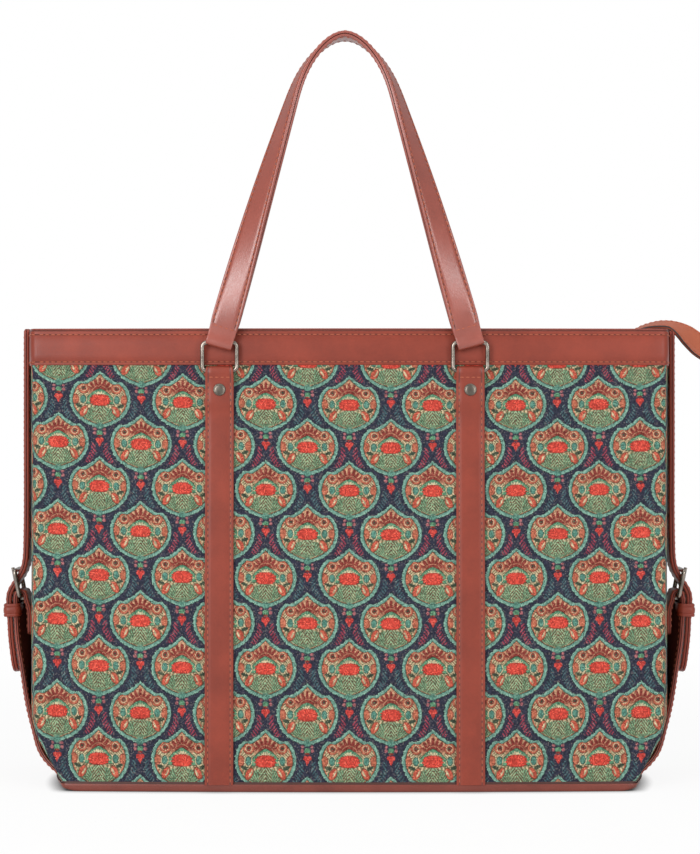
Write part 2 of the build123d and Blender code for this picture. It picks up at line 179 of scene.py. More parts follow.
def spline(points, count):
    """Smooth line through points, as count + 1 places at even lengths with their directions."""
    points = np.array(points, float)
    knots = running(points)
    gaps = np.diff(knots)
    size = len(points)
    system = np.eye(size)
    right = np.zeros_like(points)
    for i in range(1, size - 1):
        system[i, i - 1] = gaps[i - 1]
        system[i, i] = 2 * (gaps[i - 1] + gaps[i])
        system[i, i + 1] = gaps[i]
        right[i] = 6 * ((points[i + 1] - points[i]) / gaps[i] - (points[i] - points[i - 1]) / gaps[i - 1])
    bends = np.linalg.solve(system, right)

    def place(t):
        i = np.clip(np.searchsorted(knots, t, side="right") - 1, 0, size - 2)
        h = gaps[i][:, None]
        a = (knots[i + 1] - t)[:, None]
        b = (t - knots[i])[:, None]
        line = (bends[i] * a ** 3 + bends[i + 1] * b ** 3) / (6 * h)
        line += (points[i] / h - bends[i] * h / 6) * a
        return line + (points[i + 1] / h - bends[i + 1] * h / 6) * b

    fine = np.linspace(0, knots[-1], 40 * size)
    line = place(fine)
    lengths = running(line)
    wanted = np.interp(np.linspace(0, lengths[-1], count + 1), lengths, fine)
    step = knots[-1] * 1e-4
    ahead = place(np.clip(wanted + step, 0, knots[-1]))
    behind = place(np.clip(wanted - step, 0, knots[-1]))
    along = ahead - behind
    along /= np.linalg.norm(along, axis=1)[:, None]
    return place(wanted), along, lengths[-1]


def unit(vectors):
    vectors = np.asarray(vectors, float)
    return vectors / np.maximum(np.linalg.norm(vectors, axis=-1, keepdims=True), 1e-12)


def mesh_piece(name, vertices, faces, materials, uvs=None, face_material=None, sharp=38.0):
    """A smooth-shaded mesh object, from places in millimetres."""
    mesh = bpy.data.meshes.new(name)
    mesh.from_pydata((np.asarray(vertices, float) * MM).tolist(), [], [list(f) for f in faces])
    mesh.validate()
    if uvs is not None:
        layer = mesh.uv_layers.new(name="cloth")
        loops = np.zeros(len(mesh.loops), np.int32)
        mesh.loops.foreach_get("vertex_index", loops)
        layer.data.foreach_set("uv", np.asarray(uvs, np.float32)[loops].ravel())
    for material in materials:
        mesh.materials.append(material)
    if face_material is not None:
        mesh.polygons.foreach_set("material_index", np.asarray(face_material, np.int32))
    mesh.polygons.foreach_set("use_smooth", [True] * len(mesh.polygons))
    mesh.set_sharp_from_angle(angle=math.radians(sharp))
    piece = bpy.data.objects.new(name, mesh)
    bpy.context.scene.collection.objects.link(piece)
    return piece


def fitted(piece, slot, *nodes, body="bag"):
    """Ties a piece to its body, in place of the CAD nodes it stands for, whose parts it hides. The slot
    argument is not used.
    """
    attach(piece, body)
    if nodes:
        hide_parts(*nodes)
    return piece


def grid_faces(rows, columns, start=0, closed=False):
    """Quads between rows of points, with each row joined round on itself if closed."""
    faces = []
    last = columns if closed else columns - 1
    for i in range(rows - 1):
        for j in range(last):
            a = start + i * columns + j
            b = start + i * columns + (j + 1) % columns
            faces.append((a, b, b + columns, a + columns))
    return faces


def tube_faces(sections, size, start=0):
    """Faces of a tube with a cap at both ends."""
    faces = grid_faces(sections, size, start, closed=True)
    faces.append(tuple(start + j for j in reversed(range(size))))
    faces.append(tuple(start + (sections - 1) * size + j for j in range(size)))
    return faces


def ring_faces(sections, size):
    """Faces of a ring whose section is closed too."""
    faces = grid_faces(sections, size, closed=True)
    last = (sections - 1) * size
    for j in range(size):
        k = (j + 1) % size
        faces.append((last + j, last + k, k, j))
    return faces


def swept(centres, across, face, profile, widths=None, heights=None):
    """Points of a section carried along a line: profile is (across, face) in millimetres."""
    profile = np.array(profile, float)
    count = len(centres)
    widths = np.ones(count) if widths is None else np.asarray(widths, float)
    heights = np.ones(count) if heights is None else np.asarray(heights, float)
    side = profile[None, :, 0, None] * widths[:, None, None] * across[:, None, :]
    lift = profile[None, :, 1, None] * heights[:, None, None] * face[:, None, :]
    return (centres[:, None, :] + side + lift).reshape(-1, 3)


def strap_profile(width, thickness, layers=2, seams=(1, 1)):
    """Section of a sewn strap: rounded edges with a groove between its layers, and its seams sunk in."""
    corner = min(0.7, thickness * 0.26)
    half = width / 2
    crown = 0.12
    top = thickness / 2 - crown
    groove = 0.5 if layers > 1 else 0.0
    dip = 0.3

    def face_points(sunk):
        inner = [(half - corner, top), (half - seam_in + seam_half, top)]
        if sunk:
            inner += [(half - seam_in, top - dip)]
        inner += [(half - seam_in - seam_half, top), (half - seam_in - 2.4, top + 0.6 * crown)]
        return inner + [(0.35 * half, top + crown)]

    right = face_points(seams[0])
    upper = [(-x, y) for x, y in right] + [(x, y) for x, y in reversed(right)]
    under = face_points(seams[1])
    lower = [(x, -y) for x, y in under] + [(-x, -y) for x, y in reversed(under)]
    edge = []
    for step in range(1, 4):
        turn = math.radians(90 * step / 3)
        edge.append((half - corner + corner * math.sin(turn), top - corner + corner * math.cos(turn)))
    edge += [(half, 0.28), (half - groove, 0.0), (half, -0.28)]
    edge += [(x, -y) for x, y in reversed(edge[:3])]
    return upper + edge + lower + [(-x, y) for x, y in reversed(edge)]


def groove_paint(profile, faces, width):
    """1 for the faces in the groove between a strap's layers, 2 for those along a seam, which take darker
    leather as painted shade in the seam's groove, 0 for the others.
    """
    size = len(profile)
    deep = {j for j in range(size) if abs(profile[j][1]) < 0.01}
    sewn = {j for j in range(size) if abs(abs(profile[j][0]) - width / 2 + seam_in) < 0.01}
    paint = []
    for face in faces:
        places = {k % size for k in face}
        paint.append(0 if len(face) != 4 else 1 if places & deep else 2 if places & sewn else 0)
    return paint


def turned(points, flip):
    """Front places, turned round to the back if flip."""
    points = np.array(points, float)
    if flip:
        points[..., :2] *= -1
    return points


def stitch_points(line, normals, pitch=stitch_pitch, start=1.0, end=1.0):
    """Even places along a line of points, each with its direction and the face it lies on."""
    line = np.asarray(line, float)
    normals = np.asarray(normals, float)
    lengths = running(line)
    room = lengths[-1] - start - end
    count = max(int(room / pitch), 1)
    wanted = start + (np.arange(count) + 0.5) * room / count

    def read(at, values):
        return np.stack([np.interp(at, lengths, values[:, i]) for i in range(3)], axis=1)

    places = read(wanted, line)
    along = unit(read(wanted + 0.5, line) - places + 1e-9)
    return places, along, unit(read(wanted, normals))


def edge_seams(surface, across, normals, edge, shown, flip=False, pitch=stitch_pitch):
    """The two seams along a strap, edge away from its middle, where it is shown."""
    sides = [turned((surface + across * edge * sign)[shown], flip) for sign in (-1, 1)]
    return [stitch_points(line, turned(normals[shown], flip), pitch) for line in sides]


def cross_stitches(surface, across, normal, edge, flip=False):
    """A short row of stitches across a strap."""
    ends = [surface + across * edge * sign for sign in (-1, 1)]
    return stitch_points(turned(ends, flip), turned([normal] * 2, flip), cross_pitch, 0, 0)


def stitches(name, runs, body, length=2.9, radius=0.36):
    """One mesh of thread stitches. Each run is the places, directions and faces from stitch_points."""
    ring = [(math.cos(a), math.sin(a)) for a in np.linspace(0, 2 * math.pi, 7)[:-1]]
    stations = [
        (-0.5, 0.15, -0.30), (-0.36, 0.8, -0.02), (0.0, 1.0, 0.12), (0.36, 0.8, -0.02), (0.5, 0.15, -0.30),
    ]
    vertices = []
    faces = []
    for places, along, up in runs:
        side = unit(np.cross(along, up))
        for place, a, n, s in zip(places, along, up, side):
            start = len(vertices)
            for share, size, lift in stations:
                middle = place + a * (share * length) + n * lift
                for c, d in ring:
                    vertices.append(middle + s * (radius * size * c) + n * (radius * size * d))
            faces += tube_faces(len(stations), len(ring), start)
    fitted(mesh_piece(name, vertices, faces, [thread_material]), "leather", body=body)


# Material helpers

def linear(red, green, blue):
    """A colour given as it shows on a screen, from 0 to 255, as the shader takes it."""
    values = []
    for value in (red, green, blue):
        share = value / 255
        values.append(share / 12.92 if share <= 0.04045 else ((share + 0.055) / 1.055) ** 2.4)
    return (*values, 1.0)


class Number:
    """A number that flows through a material's nodes, with plain arithmetic."""

    def __init__(self, tree, socket):
        self.tree = tree
        self.socket = socket

    def apply(self, operation, *others, clamp=False):
        return calculate(self.tree, operation, self, *others, clamp=clamp)

    def __add__(self, other):
        return self.apply("ADD", other)

    def __radd__(self, other):
        return self.apply("ADD", other)

    def __sub__(self, other):
        return self.apply("SUBTRACT", other)

    def __rsub__(self, other):
        return calculate(self.tree, "SUBTRACT", other, self)

    def __mul__(self, other):
        return self.apply("MULTIPLY", other)

    def __truediv__(self, other):
        return self.apply("DIVIDE", other)

    def __abs__(self):
        return self.apply("ABSOLUTE")

    def least(self, other):
        return self.apply("MINIMUM", other)

    def most(self, other):
        return self.apply("MAXIMUM", other)

    def clamped(self):
        return self.apply("ADD", 0.0, clamp=True)

    def inside(self, soft=0.25):
        """1 where this distance is below nought, 0 where it is above, with a soft edge."""
        return (0.5 - self / soft).clamped()


def calculate(tree, operation, *inputs, clamp=False):
    node = tree.nodes.new("ShaderNodeMath")
    node.operation = operation
    node.use_clamp = clamp
    for place, value in enumerate(inputs):
        if isinstance(value, Number):
            tree.links.new(value.socket, node.inputs[place])
        else:
            node.inputs[place].default_value = value
    return Number(tree, node.outputs[0])


def length_of(x, y):
    return (x * x + y * y).apply("SQRT")


def oval(x, y, middle, half, turn=0.0):
    """Rough distance to an oval, in millimetres."""
    x = x - middle[0]
    y = y - middle[1]
    if turn:
        c = math.cos(math.radians(turn))
        s = math.sin(math.radians(turn))
        x, y = x * c + y * s, y * c - x * s
    return (length_of(x / half[0], y / half[1]) - 1.0) * min(half)


def mix_colour(tree, factor, first, second):
    node = tree.nodes.new("ShaderNodeMix")
    node.data_type = "RGBA"
    for socket, value in ((node.inputs[0], factor), (node.inputs[6], first), (node.inputs[7], second)):
        if isinstance(value, Number):
            tree.links.new(value.socket, socket)
        elif isinstance(value, (tuple, float, int)):
            socket.default_value = value
        else:
            tree.links.new(value, socket)
    return node.outputs[2]


def noise_number(tree, coordinates, scale, detail=2.0, roughness=0.5):
    node = tree.nodes.new("ShaderNodeTexNoise")
    node.inputs["Scale"].default_value = scale
    node.inputs["Detail"].default_value = detail
    node.inputs["Roughness"].default_value = roughness
    tree.links.new(coordinates, node.inputs["Vector"])
    return Number(tree, node.outputs["Fac"])


def new_material(name):
    """A material with its nodes, its shader and the place on the object."""
    material = bpy.data.materials.new(name)
    material.use_nodes = True
    tree = material.node_tree
    place = tree.nodes.new("ShaderNodeTexCoord").outputs["Object"]
    return material, tree, tree.nodes["Principled BSDF"], place


def pair_of(tree, place):
    """The first two coordinates of a place, in millimetres."""
    apart = tree.nodes.new("ShaderNodeSeparateXYZ")
    tree.links.new(place, apart.inputs[0])
    return Number(tree, apart.outputs[0]) / MM, Number(tree, apart.outputs[1]) / MM


def vector_of(tree, x, y):
    node = tree.nodes.new("ShaderNodeCombineXYZ")
    tree.links.new(x.socket, node.inputs[0])
    tree.links.new(y.socket, node.inputs[1])
    return node.outputs[0]


def white_noise(tree, dimensions, inlet, socket):
    node = tree.nodes.new("ShaderNodeTexWhiteNoise")
    node.noise_dimensions = dimensions
    tree.links.new(socket, node.inputs[inlet])
    return Number(tree, node.outputs["Value"])


def scaled(tree, colour, factor):
    """A colour made lighter or darker by a number."""
    node = tree.nodes.new("ShaderNodeVectorMath")
    node.operation = "SCALE"
    if isinstance(colour, tuple):
        node.inputs[0].default_value = colour[:3]
    else:
        tree.links.new(colour, node.inputs[0])
    tree.links.new(factor.socket, node.inputs["Scale"])
    return node.outputs[0]


def bump(tree, shader, height, distance, strength=1.0):
    node = tree.nodes.new("ShaderNodeBump")
    node.inputs["Distance"].default_value = distance
    node.inputs["Strength"].default_value = strength
    tree.links.new(height.socket, node.inputs["Height"])
    tree.links.new(node.outputs["Normal"], shader.inputs["Normal"])


def leather(name, colour, dark, roughness=0.4, grain=0.0001, shine=0.5):
    """Smooth-finished leather: cloudy colour, fine pebbled grain and long soft creases."""
    material, tree, shader, place = new_material(name)
    clouds = noise_number(tree, place, 38.0, 3.0, 0.6)
    fine = noise_number(tree, place, 900.0, 2.0, 0.55)
    tone = ((clouds - 0.5) * 1.6 + (fine - 0.5) * 0.5 + 0.5).clamped()
    tree.links.new(mix_colour(tree, tone, dark, colour), shader.inputs["Base Color"])
    pebbles = tree.nodes.new("ShaderNodeTexVoronoi")
    pebbles.inputs["Scale"].default_value = 1400.0
    tree.links.new(place, pebbles.inputs["Vector"])
    cells = Number(tree, pebbles.outputs["Distance"])
    creases = noise_number(tree, place, 120.0, 4.0, 0.65)
    height = cells * 0.55 + fine * 0.5 + creases * 1.2
    bump(tree, shader, height, grain, 0.7)
    gloss = (fine - 0.5) * 0.22 + (clouds - 0.5) * 0.12 + roughness
    tree.links.new(gloss.socket, shader.inputs["Roughness"])
    shader.inputs["Specular IOR Level"].default_value = shine
    return material


def metal(name, colour, dark, roughness=0.26):
    """Aged nickel: bright metal with darker clouds of tarnish."""
    material, tree, shader, place = new_material(name)
    clouds = noise_number(tree, place, 160.0, 2.0, 0.5)
    scratches = noise_number(tree, place, 2600.0, 1.0, 0.5)
    tone = ((clouds - 0.42) * 1.6).apply("ADD", 0.45, clamp=True)
    tree.links.new(mix_colour(tree, tone, dark, colour), shader.inputs["Base Color"])
    shader.inputs["Metallic"].default_value = 1.0
    gloss = (clouds - 0.5) * 0.15 + (scratches - 0.5) * 0.02 + roughness
    tree.links.new(gloss.socket, shader.inputs["Roughness"])
    return material


def speckled(name, colour, noise_values, spread, roughness, height, strength=0.5, shine=0.5):
    """Thread, board, paint or moulded teeth: one colour, lighter and darker by a noise that also lifts it."""
    material, tree, shader, place = new_material(name)
    specks = noise_number(tree, place, *noise_values)
    tree.links.new(scaled(tree, colour, (specks - 0.5) * spread + 1.0), shader.inputs["Base Color"])
    shader.inputs["Roughness"].default_value = roughness
    shader.inputs["Specular IOR Level"].default_value = shine
    bump(tree, shader, specks, height, strength)
    return material


def enamel(name, colour, roughness=0.45, shine=0.5):
    """Paint on a cut leather edge, or moulded teeth."""
    return speckled(name, colour, (420.0, 3.0, 0.6), 0.7, roughness, 0.00008, shine=shine)


def plain_weave(tree, u, v, pitch):
    """Height and shade of a plain weave, and a random tone for each thread crossing."""
    wobble = noise_number(tree, vector_of(tree, u, v), 0.35, 2.0, 0.6)
    a = (u + (wobble - 0.5) * 1.1) / pitch
    b = (v + (wobble - 0.5) * 1.1) / pitch
    column = a.apply("FLOOR")
    row = b.apply("FLOOR")
    warp = abs(((a - column) * math.pi).apply("SINE"))
    weft = abs(((b - row) * math.pi).apply("SINE"))
    over = abs((column + row).apply("MODULO", 2.0))
    height = warp * over * 0.6 + weft * (1.0 - over) * 0.6 + (warp * weft) * 0.4
    speck = white_noise(tree, "2D", "Vector", vector_of(tree, column, row))
    slub = white_noise(tree, "1D", "W", (row + over * 37.0).socket)
    return height, speck, slub


# Colours of the print
navy = linear(40, 46, 70)
deep_navy = linear(28, 32, 50)
pale_teal = linear(128, 176, 160)
teal = linear(86, 144, 128)
dull_teal = linear(66, 104, 112)
green = linear(92, 150, 116)
leaf_green = linear(98, 138, 98)
pale_green = linear(150, 184, 144)
dark_green = linear(56, 74, 60)
cream = linear(212, 198, 160)
peach = linear(206, 156, 122)
coral = linear(196, 110, 84)
bud_red = linear(206, 92, 72)
flower_red = linear(222, 72, 60)
heart_red = linear(208, 66, 62)
dark_red = linear(142, 52, 48)
rose = linear(166, 62, 84)
dusty_rose = linear(176, 104, 110)
brown = linear(112, 76, 58)
jute = linear(196, 180, 146)


# Radius of a medallion's outline from its flower, by degrees above the horizontal
medallion_outline = [
    (-90, 18.6), (-72, 17.9), (-52, 18.2), (-32, 19.0), (-15, 19.6), (0, 20.0), (13, 19.9),
    (29, 19.5), (41, 18.5), (48, 16.2), (54, 15.8), (64, 15.9), (74, 16.4), (83, 17.9), (90, 19.6),
]
outline_scale = 25.0


def cell(u, v, across, up):
    """Place within the repeat whose middle is across and up: mirrored left to right."""
    x = (u - across) / print_column + 0.5
    x = abs((x - x.apply("FLOOR") - 0.5) * print_column)
    y = (v - up) / print_row + 0.5
    y = (y - y.apply("FLOOR") - 0.5) * print_row
    return x, y


def outline_distance(tree, x, y):
    """Distance to a medallion's outline, below nought inside it, and the angle round its flower."""
    angle = calculate(tree, "ARCTAN2", y, x)
    share = angle / math.pi + 0.5
    curve = tree.nodes.new("ShaderNodeFloatCurve")
    points = curve.mapping.curves[0].points
    places = [((degrees + 90) / 180, radius / outline_scale) for degrees, radius in medallion_outline]
    points[0].location = places[0]
    points[-1].location = places[-1]
    for place in places[1:-1]:
        points.new(*place)
    curve.mapping.update()
    tree.links.new(share.socket, curve.inputs["Value"])
    radius = Number(tree, curve.outputs["Value"]) * outline_scale
    return length_of(x, y) - radius, angle


class Ink:
    """The colour of the cloth, as fields of colour are laid over one another."""

    def __init__(self, tree, colour):
        self.tree = tree
        self.colour = colour

    def lay(self, distance, tint, soft, share=None):
        """Lays a tint where a distance is below nought, with a soft edge, thinned by share."""
        cover = distance.inside(soft)
        if share is not None:
            cover = cover * share
        self.colour = mix_colour(self.tree, cover, self.colour, tint)


def between_medallions(ink, u, v):
    """Crossed sprays, rose and teal in turn, and a heart with two dots above each."""
    half_column = print_column / 2
    half_row = print_row / 2
    for across, up, leaf in ((0.0, 0.0, rose), (half_column, half_row, dull_teal)):
        x, y = cell(u, v, across, up - 33.8)
        for low, high, slope, out, length in ((-7.6, 0.6, 0.55, 3.9, 3.8), (0.6, 5.4, -0.1, 3.8, 2.6)):
            beside = x + y * slope - out
            strokes = ((y * 0.75 - x * 0.95) * (2 * math.pi / 2.1)).apply("SINE") * 0.7
            spray = strokes.most(abs(beside) - length / 2).most(y - high).most(low - y)
            ink.lay(spray, leaf, 0.5, 0.9)
        x, y = cell(u, v, across, up - 24.0)
        dots = oval(x, y, (3.3, 2.2), (1.0, 1.1)).least(oval(x, y, (3.0, 4.7), (0.9, 0.8)))
        ink.lay(dots, dusty_rose, 0.5)
        ink.lay(oval(x, y, (0.0, 2.2), (1.9, 1.7)), green, 0.5)
        ink.lay(oval(x, y, (0.0, 0.4), (1.5, 0.7)), dark_red, 0.4)
        heart = oval(x, y, (1.2, -2.2), (1.5, 1.5)).least((x * 1.1 - y * 0.56 - 3.75).most(y + 2.0))
        ink.lay(heart, heart_red, 0.4)


def fan_of_petals(ink, x, y, ground):
    """Seven dark petals under the peak, with cream between them and a scalloped rim."""
    fan_y = y - 4.2
    turn = calculate(x.tree, "ARCTAN2", x, fan_y)
    away = length_of(x, fan_y)
    rim = away - 10.6 + turn * turn * 1.7
    fan = rim.most(abs(turn) - 1.3).most(ground)
    ink.lay((fan - 0.7).most(ground), peach, 0.4)
    petal = (turn * (2 * math.pi / 0.36)).apply("COSINE")
    petals = (petal * -0.9 - 0.15 + (away - 9.2) * 0.3).most(fan)
    ink.lay(petals, dark_red, 0.5)
    inner = (abs(away - 5.4) - 0.25).most(fan)
    ink.lay(inner, peach, 0.4, 0.6)


def arch_and_flower(ink, x, y, angle):
    """A pointed green arch with a scalloped cream lining over the red flower."""
    rise = (x / 9.2).apply("POWER", 1.35) + (y.most(0.0) / 7.4).apply("POWER", 1.35)
    arch = ((rise - 1.0) * 5.0).most(y * -1.0 - 2.6)
    ink.lay(arch - 0.4, dark_green, 0.3)
    ink.lay(arch, green, 0.3)
    scallop = (angle * 22.0).apply("SINE") * 0.5
    ink.lay(arch + 1.4 + scallop, cream, 0.5)
    flat = (x / 6.2).apply("POWER", 2.4) + (abs(y + 0.1) / 3.7).apply("POWER", 2.4)
    flower = ((flat - 1.0) * 1.7 + scallop * 0.6).most(y * -1.0 - 3.4)
    ink.lay(flower - 0.45, dark_red, 0.3)
    ink.lay(flower, flower_red, 0.3)


def stem_wedge(ink, x, y, ground):
    """Green leaves that fan up from the foot of a medallion, with brown veins."""
    turn = calculate(x.tree, "ARCTAN2", x, y + 19.5)
    wedge = (y + 3.2 + x * 0.32).most(ground + 0.3)
    ink.lay(wedge, green, 0.5)
    veins = ((turn * 58.0).apply("COSINE") * 0.8 + 0.3).most(wedge)
    ink.lay(veins, brown, 0.7, 0.85)
    light = ((turn * 58.0 + 2.3).apply("COSINE") * 0.8 + 0.5).most(wedge)
    ink.lay(light, pale_green, 0.6, 0.8)
    chevron = ((y + x * 1.3) * (2 * math.pi / 2.3)).apply("SINE") * 0.7 + 0.1
    core = (x - 4.2).most(wedge).most(-13.0 - y)
    ink.lay(core, pale_green, 0.5)
    ink.lay(chevron.most(core), brown, 0.5)
    foot = oval(x, y, (0.0, -17.0), (2.6, 2.2))
    ink.lay(foot, teal, 0.8, 0.8)


def medallion(ink, x, y, edge, angle):
    """One medallion: a teal border round a flower under a green arch, with leaves, buds and a fan."""
    rope = ((angle * 34.0).apply("SINE") * 0.15) + edge
    ink.lay(edge - 0.4, deep_navy, 0.3)
    ink.lay(rope, pale_teal, 0.3)
    ink.lay(edge + 1.15, teal, 0.5, 0.6)
    ink.lay(edge + 1.95, dark_green, 0.25)
    ground = edge + 2.5
    ink.lay(ground, coral, 0.25)

    streak = ((x * 0.5 + y * 1.1 + edge * 0.9) * (2 * math.pi / 2.6)).apply("SINE")
    ink.lay((streak * 0.8 + 0.1).most(ground + 0.7), cream, 0.6)
    dark = (streak * -0.8 + 0.3).most(ground + 0.7)
    ink.lay(dark, leaf_green, 0.5, 0.85)
    fan_of_petals(ink, x, y, ground)

    for size, tint in ((3.7, dark_red), (3.2, coral), (2.1, cream), (1.7, dark_red), (0.8, dark_green)):
        curl = oval(x, y, (10.8, 7.8), (size, size)).most(edge + 2.3)
        ink.lay(curl, tint, 0.35)

    patch = oval(x, y, (15.9, 0.2), (1.9, 2.8)).most(ground)
    ink.lay((patch - 0.4).most(ground), dark_red, 0.3)
    ink.lay(patch, coral, 0.3)
    ink.lay(oval(x, y, (13.6, -3.9), (2.4, 1.1), 20), dark_green, 0.4)
    stem_wedge(ink, x, y, ground)
    arch_and_flower(ink, x, y, angle)

    ink.lay(oval(x, y, (11.1, 0.2), (2.6, 3.3)), cream, 0.4)
    leaf = oval(x, y, (11.1, 0.2), (1.7, 2.4))
    ink.lay(leaf - 0.35, dark_green, 0.3)
    ink.lay(leaf, teal, 0.4)
    bud = oval(x, y, (10.5, -7.5), (2.1, 3.6), 28)
    ink.lay(bud - 0.4, brown, 0.3)
    ink.lay(bud, bud_red, 0.3)
    ink.lay(oval(x, y, (9.5, -7.2), (0.6, 2.2), 28), cream, 0.4)


def printed_canvas():
    """Jute in a plain weave, printed with rows of palmette medallions on navy."""
    material, tree, shader, _ = new_material("printed_canvas")
    uv = tree.nodes.new("ShaderNodeUVMap")
    uv.uv_map = "cloth"
    u, v = pair_of(tree, uv.outputs[0])
    height, speck, slub = plain_weave(tree, u, v, thread_pitch)

    pu = u + (speck - 0.5) * 0.55
    pv = v + (slub - 0.5) * 0.45
    first_x, first_y = cell(pu, pv, 0.0, 0.0)
    other_x, other_y = cell(pu, pv, print_column / 2, print_row / 2)
    first, first_angle = outline_distance(tree, first_x, first_y)
    other, other_angle = outline_distance(tree, other_x, other_y)
    pick = first.apply("GREATER_THAN", other)

    def chosen(a, b):
        return a + (b - a) * pick

    ink = Ink(tree, navy)
    between_medallions(ink, pu, pv)
    medallion(
        ink, chosen(first_x, other_x), chosen(first_y, other_y), chosen(first, other),
        chosen(first_angle, other_angle),
    )
    bare = ((speck - 0.8) * 5.0).clamped()
    colour = mix_colour(tree, bare * 0.14 + 0.03, ink.colour, jute)
    # Random tone of the threads and slubs, with painted shade from the weave's height: thread tops lighter,
    # the dips between them darker.
    light = (speck - 0.5) * 0.66 + (slub - 0.5) * 0.16 + height * 0.48 + 0.46
    tree.links.new(scaled(tree, colour, light), shader.inputs["Base Color"])
    shader.inputs["Roughness"].default_value = 0.86
    shader.inputs["Specular IOR Level"].default_value = 0.2
    bump(tree, shader, height + speck * 0.35, 0.00022, 0.8)
    return material


def zip_cloth():
    """Herringbone tape of the zip."""
    material, tree, shader, place = new_material("zip_cloth")
    x, y = pair_of(tree, place)
    fold = abs((y / 2.4 - (y / 2.4).apply("FLOOR")) - 0.5)
    twill = abs(((x / 0.6 + fold * 5.0) * math.pi).apply("SINE"))
    fuzz = noise_number(tree, place, 900.0, 2.0, 0.6)
    # Fuzz is random tone; the twill term is painted shade, lighter on the herringbone's raised ribs.
    light = twill * 0.35 + (fuzz - 0.5) * 0.4 + 0.75
    tree.links.new(scaled(tree, linear(84, 46, 38), light), shader.inputs["Base Color"])
    shader.inputs["Roughness"].default_value = 0.88
    bump(tree, shader, twill, 0.0001, 0.6)
    return material


leather_material = leather("leather_brown", linear(143, 57, 38), linear(113, 43, 29), 0.44, shine=0.4)
# The handles' leather: a lighter copy of the brown leather as painted light, and glossier.
lit_handle_leather = leather("leather_painted_lighter", linear(152, 67, 50), linear(126, 53, 38), 0.36, shine=1.0)
base_leather = leather("leather_base", linear(126, 57, 43), linear(98, 42, 32))
tab_leather = leather("leather_tan", linear(178, 94, 62), linear(150, 74, 48), roughness=0.5)
nickel = metal("aged_nickel", linear(168, 158, 148), linear(78, 72, 66))
rivet_metal = metal("rivet_nickel", linear(132, 124, 114), linear(84, 78, 72), roughness=0.34)
thread_material = speckled("sewing_thread", linear(168, 88, 62), (1800.0, 2.0, 0.6), 0.9, 0.62, 0.00008, 0.6)
canvas_material = printed_canvas()
tape_material = zip_cloth()
board_material = speckled("grey_board", linear(128, 124, 116), (300.0, 5.0, 0.7), 0.6, 0.9, 0.0001)
# Black edge paint for the zip tab, also the painted shade inside the punched holes.
edge_paint_and_hole_shade = enamel("dark_edge_paint_and_hole_shade", linear(48, 30, 28))
# Dark raw leather for cut edges and the groove between layers, also used as painted shadow where the canvas
# turns in above the base lip.
raw_edge_and_shadow = enamel("raw_leather_edge_and_painted_shadow", linear(70, 34, 28))
# A darker copy of the brown leather: painted shade in the seams' grooves and in the groove under the top
# band's edge.
seam_shade_leather = leather("leather_seam_painted_shade", linear(112, 50, 38), linear(90, 38, 29))
# The belts' rough flesh side, darker than the leather as painted shade where it faces the gusset.
shaded_flesh_side = enamel("leather_underside_painted_shade", linear(86, 40, 31), roughness=0.85, shine=0.12)
tooth_material = enamel("moulded_teeth", linear(70, 40, 34))


# Shape of the body

def crown_centre():
    lean = half_depth_base - half_depth_top
    chord = math.hypot(bag_height, lean)
    reach_in = math.sqrt(crown_radius ** 2 - (chord / 2) ** 2)
    y = -(half_depth_base + half_depth_top) / 2 + reach_in * bag_height / chord
    return y, bag_height / 2 - reach_in * lean / chord


crown_y, crown_z = crown_centre()


def depth(x, z, offset=0.0):
    """Distance from the bag's middle plane to the front canvas, or to a layer on it."""
    return np.sqrt((crown_radius + offset) ** 2 - x ** 2 - (z - crown_z) ** 2) - crown_y


def side(y, z, offset=0.0):
    """Distance from the bag's middle to the gusset, whose lower corner turns in, then runs straight."""
    share = (y / panel_half_depth) ** 2
    width = middle_half_width + (panel_half_width - middle_half_width) * share
    radius = middle_corner_radius + (panel_corner_radius - middle_corner_radius) * share
    drop = np.clip(floor_level + radius - z, 0, radius + offset)
    turned = np.minimum(drop, corner_turn * (radius + offset))
    lean = corner_turn / math.sqrt(1 - corner_turn ** 2)
    under = under_cut * np.maximum(floor_level - z, 0)
    return width - radius + np.sqrt((radius + offset) ** 2 - turned ** 2) - lean * (drop - turned) - under


front_steps = 104
arc_steps = 5
side_steps = 24


def quarter_loop(z, offset=0.0):
    """Half of the loop round the bag at one level: the front panel, a fold and the right gusset."""
    corner = fold_radius + offset
    y_end = depth(panel_half_width - fold_radius, z, offset) - corner
    x_end = side(y_end, z, offset)
    straight = x_end - corner
    xs = np.linspace(-straight, straight, front_steps + 1)
    front = np.stack([xs, -depth(xs, z, offset)], axis=1)
    top = depth(straight, z, offset)
    turns = np.linspace(0, math.pi / 2, arc_steps + 1)[1:]
    arc = np.stack([straight + corner * np.sin(turns), -(top - corner + corner * np.cos(turns))], axis=1)
    first = top - corner
    ys = np.linspace(-first, first, side_steps + 1)[1:-1]
    gusset = np.stack([side(ys, z, offset), ys], axis=1)
    arc_back = np.stack([arc[:, 0], -arc[:, 1]], axis=1)[::-1]
    return np.concatenate([front, arc, gusset, arc_back], axis=0)


def body_loop(z, offset=0.0):
    """The whole loop round the bag at one level, anticlockwise from the front's left end."""
    half = quarter_loop(z, offset)
    front = half[:front_steps + 1]
    right = half[front_steps + 1:]
    loop = np.concatenate([front, right, -front, -right], axis=0)
    return np.concatenate([loop, np.full((len(loop), 1), z)], axis=1)


def rings_mesh(levels):
    """Loops stacked as (offset, level) pairs."""
    return np.concatenate([body_loop(z, offset) for offset, z in levels], axis=0)


loop_size = len(body_loop(150.0))


def loop_line(z, offset):
    """A closed loop with its outward directions, for seams that run round the bag."""
    line = body_loop(z, offset)
    beyond = body_loop(z, offset + 1.0)
    line = np.concatenate([line, line[:1]], axis=0)
    beyond = np.concatenate([beyond, beyond[:1]], axis=0)
    return line, unit(beyond - line)


# Canvas

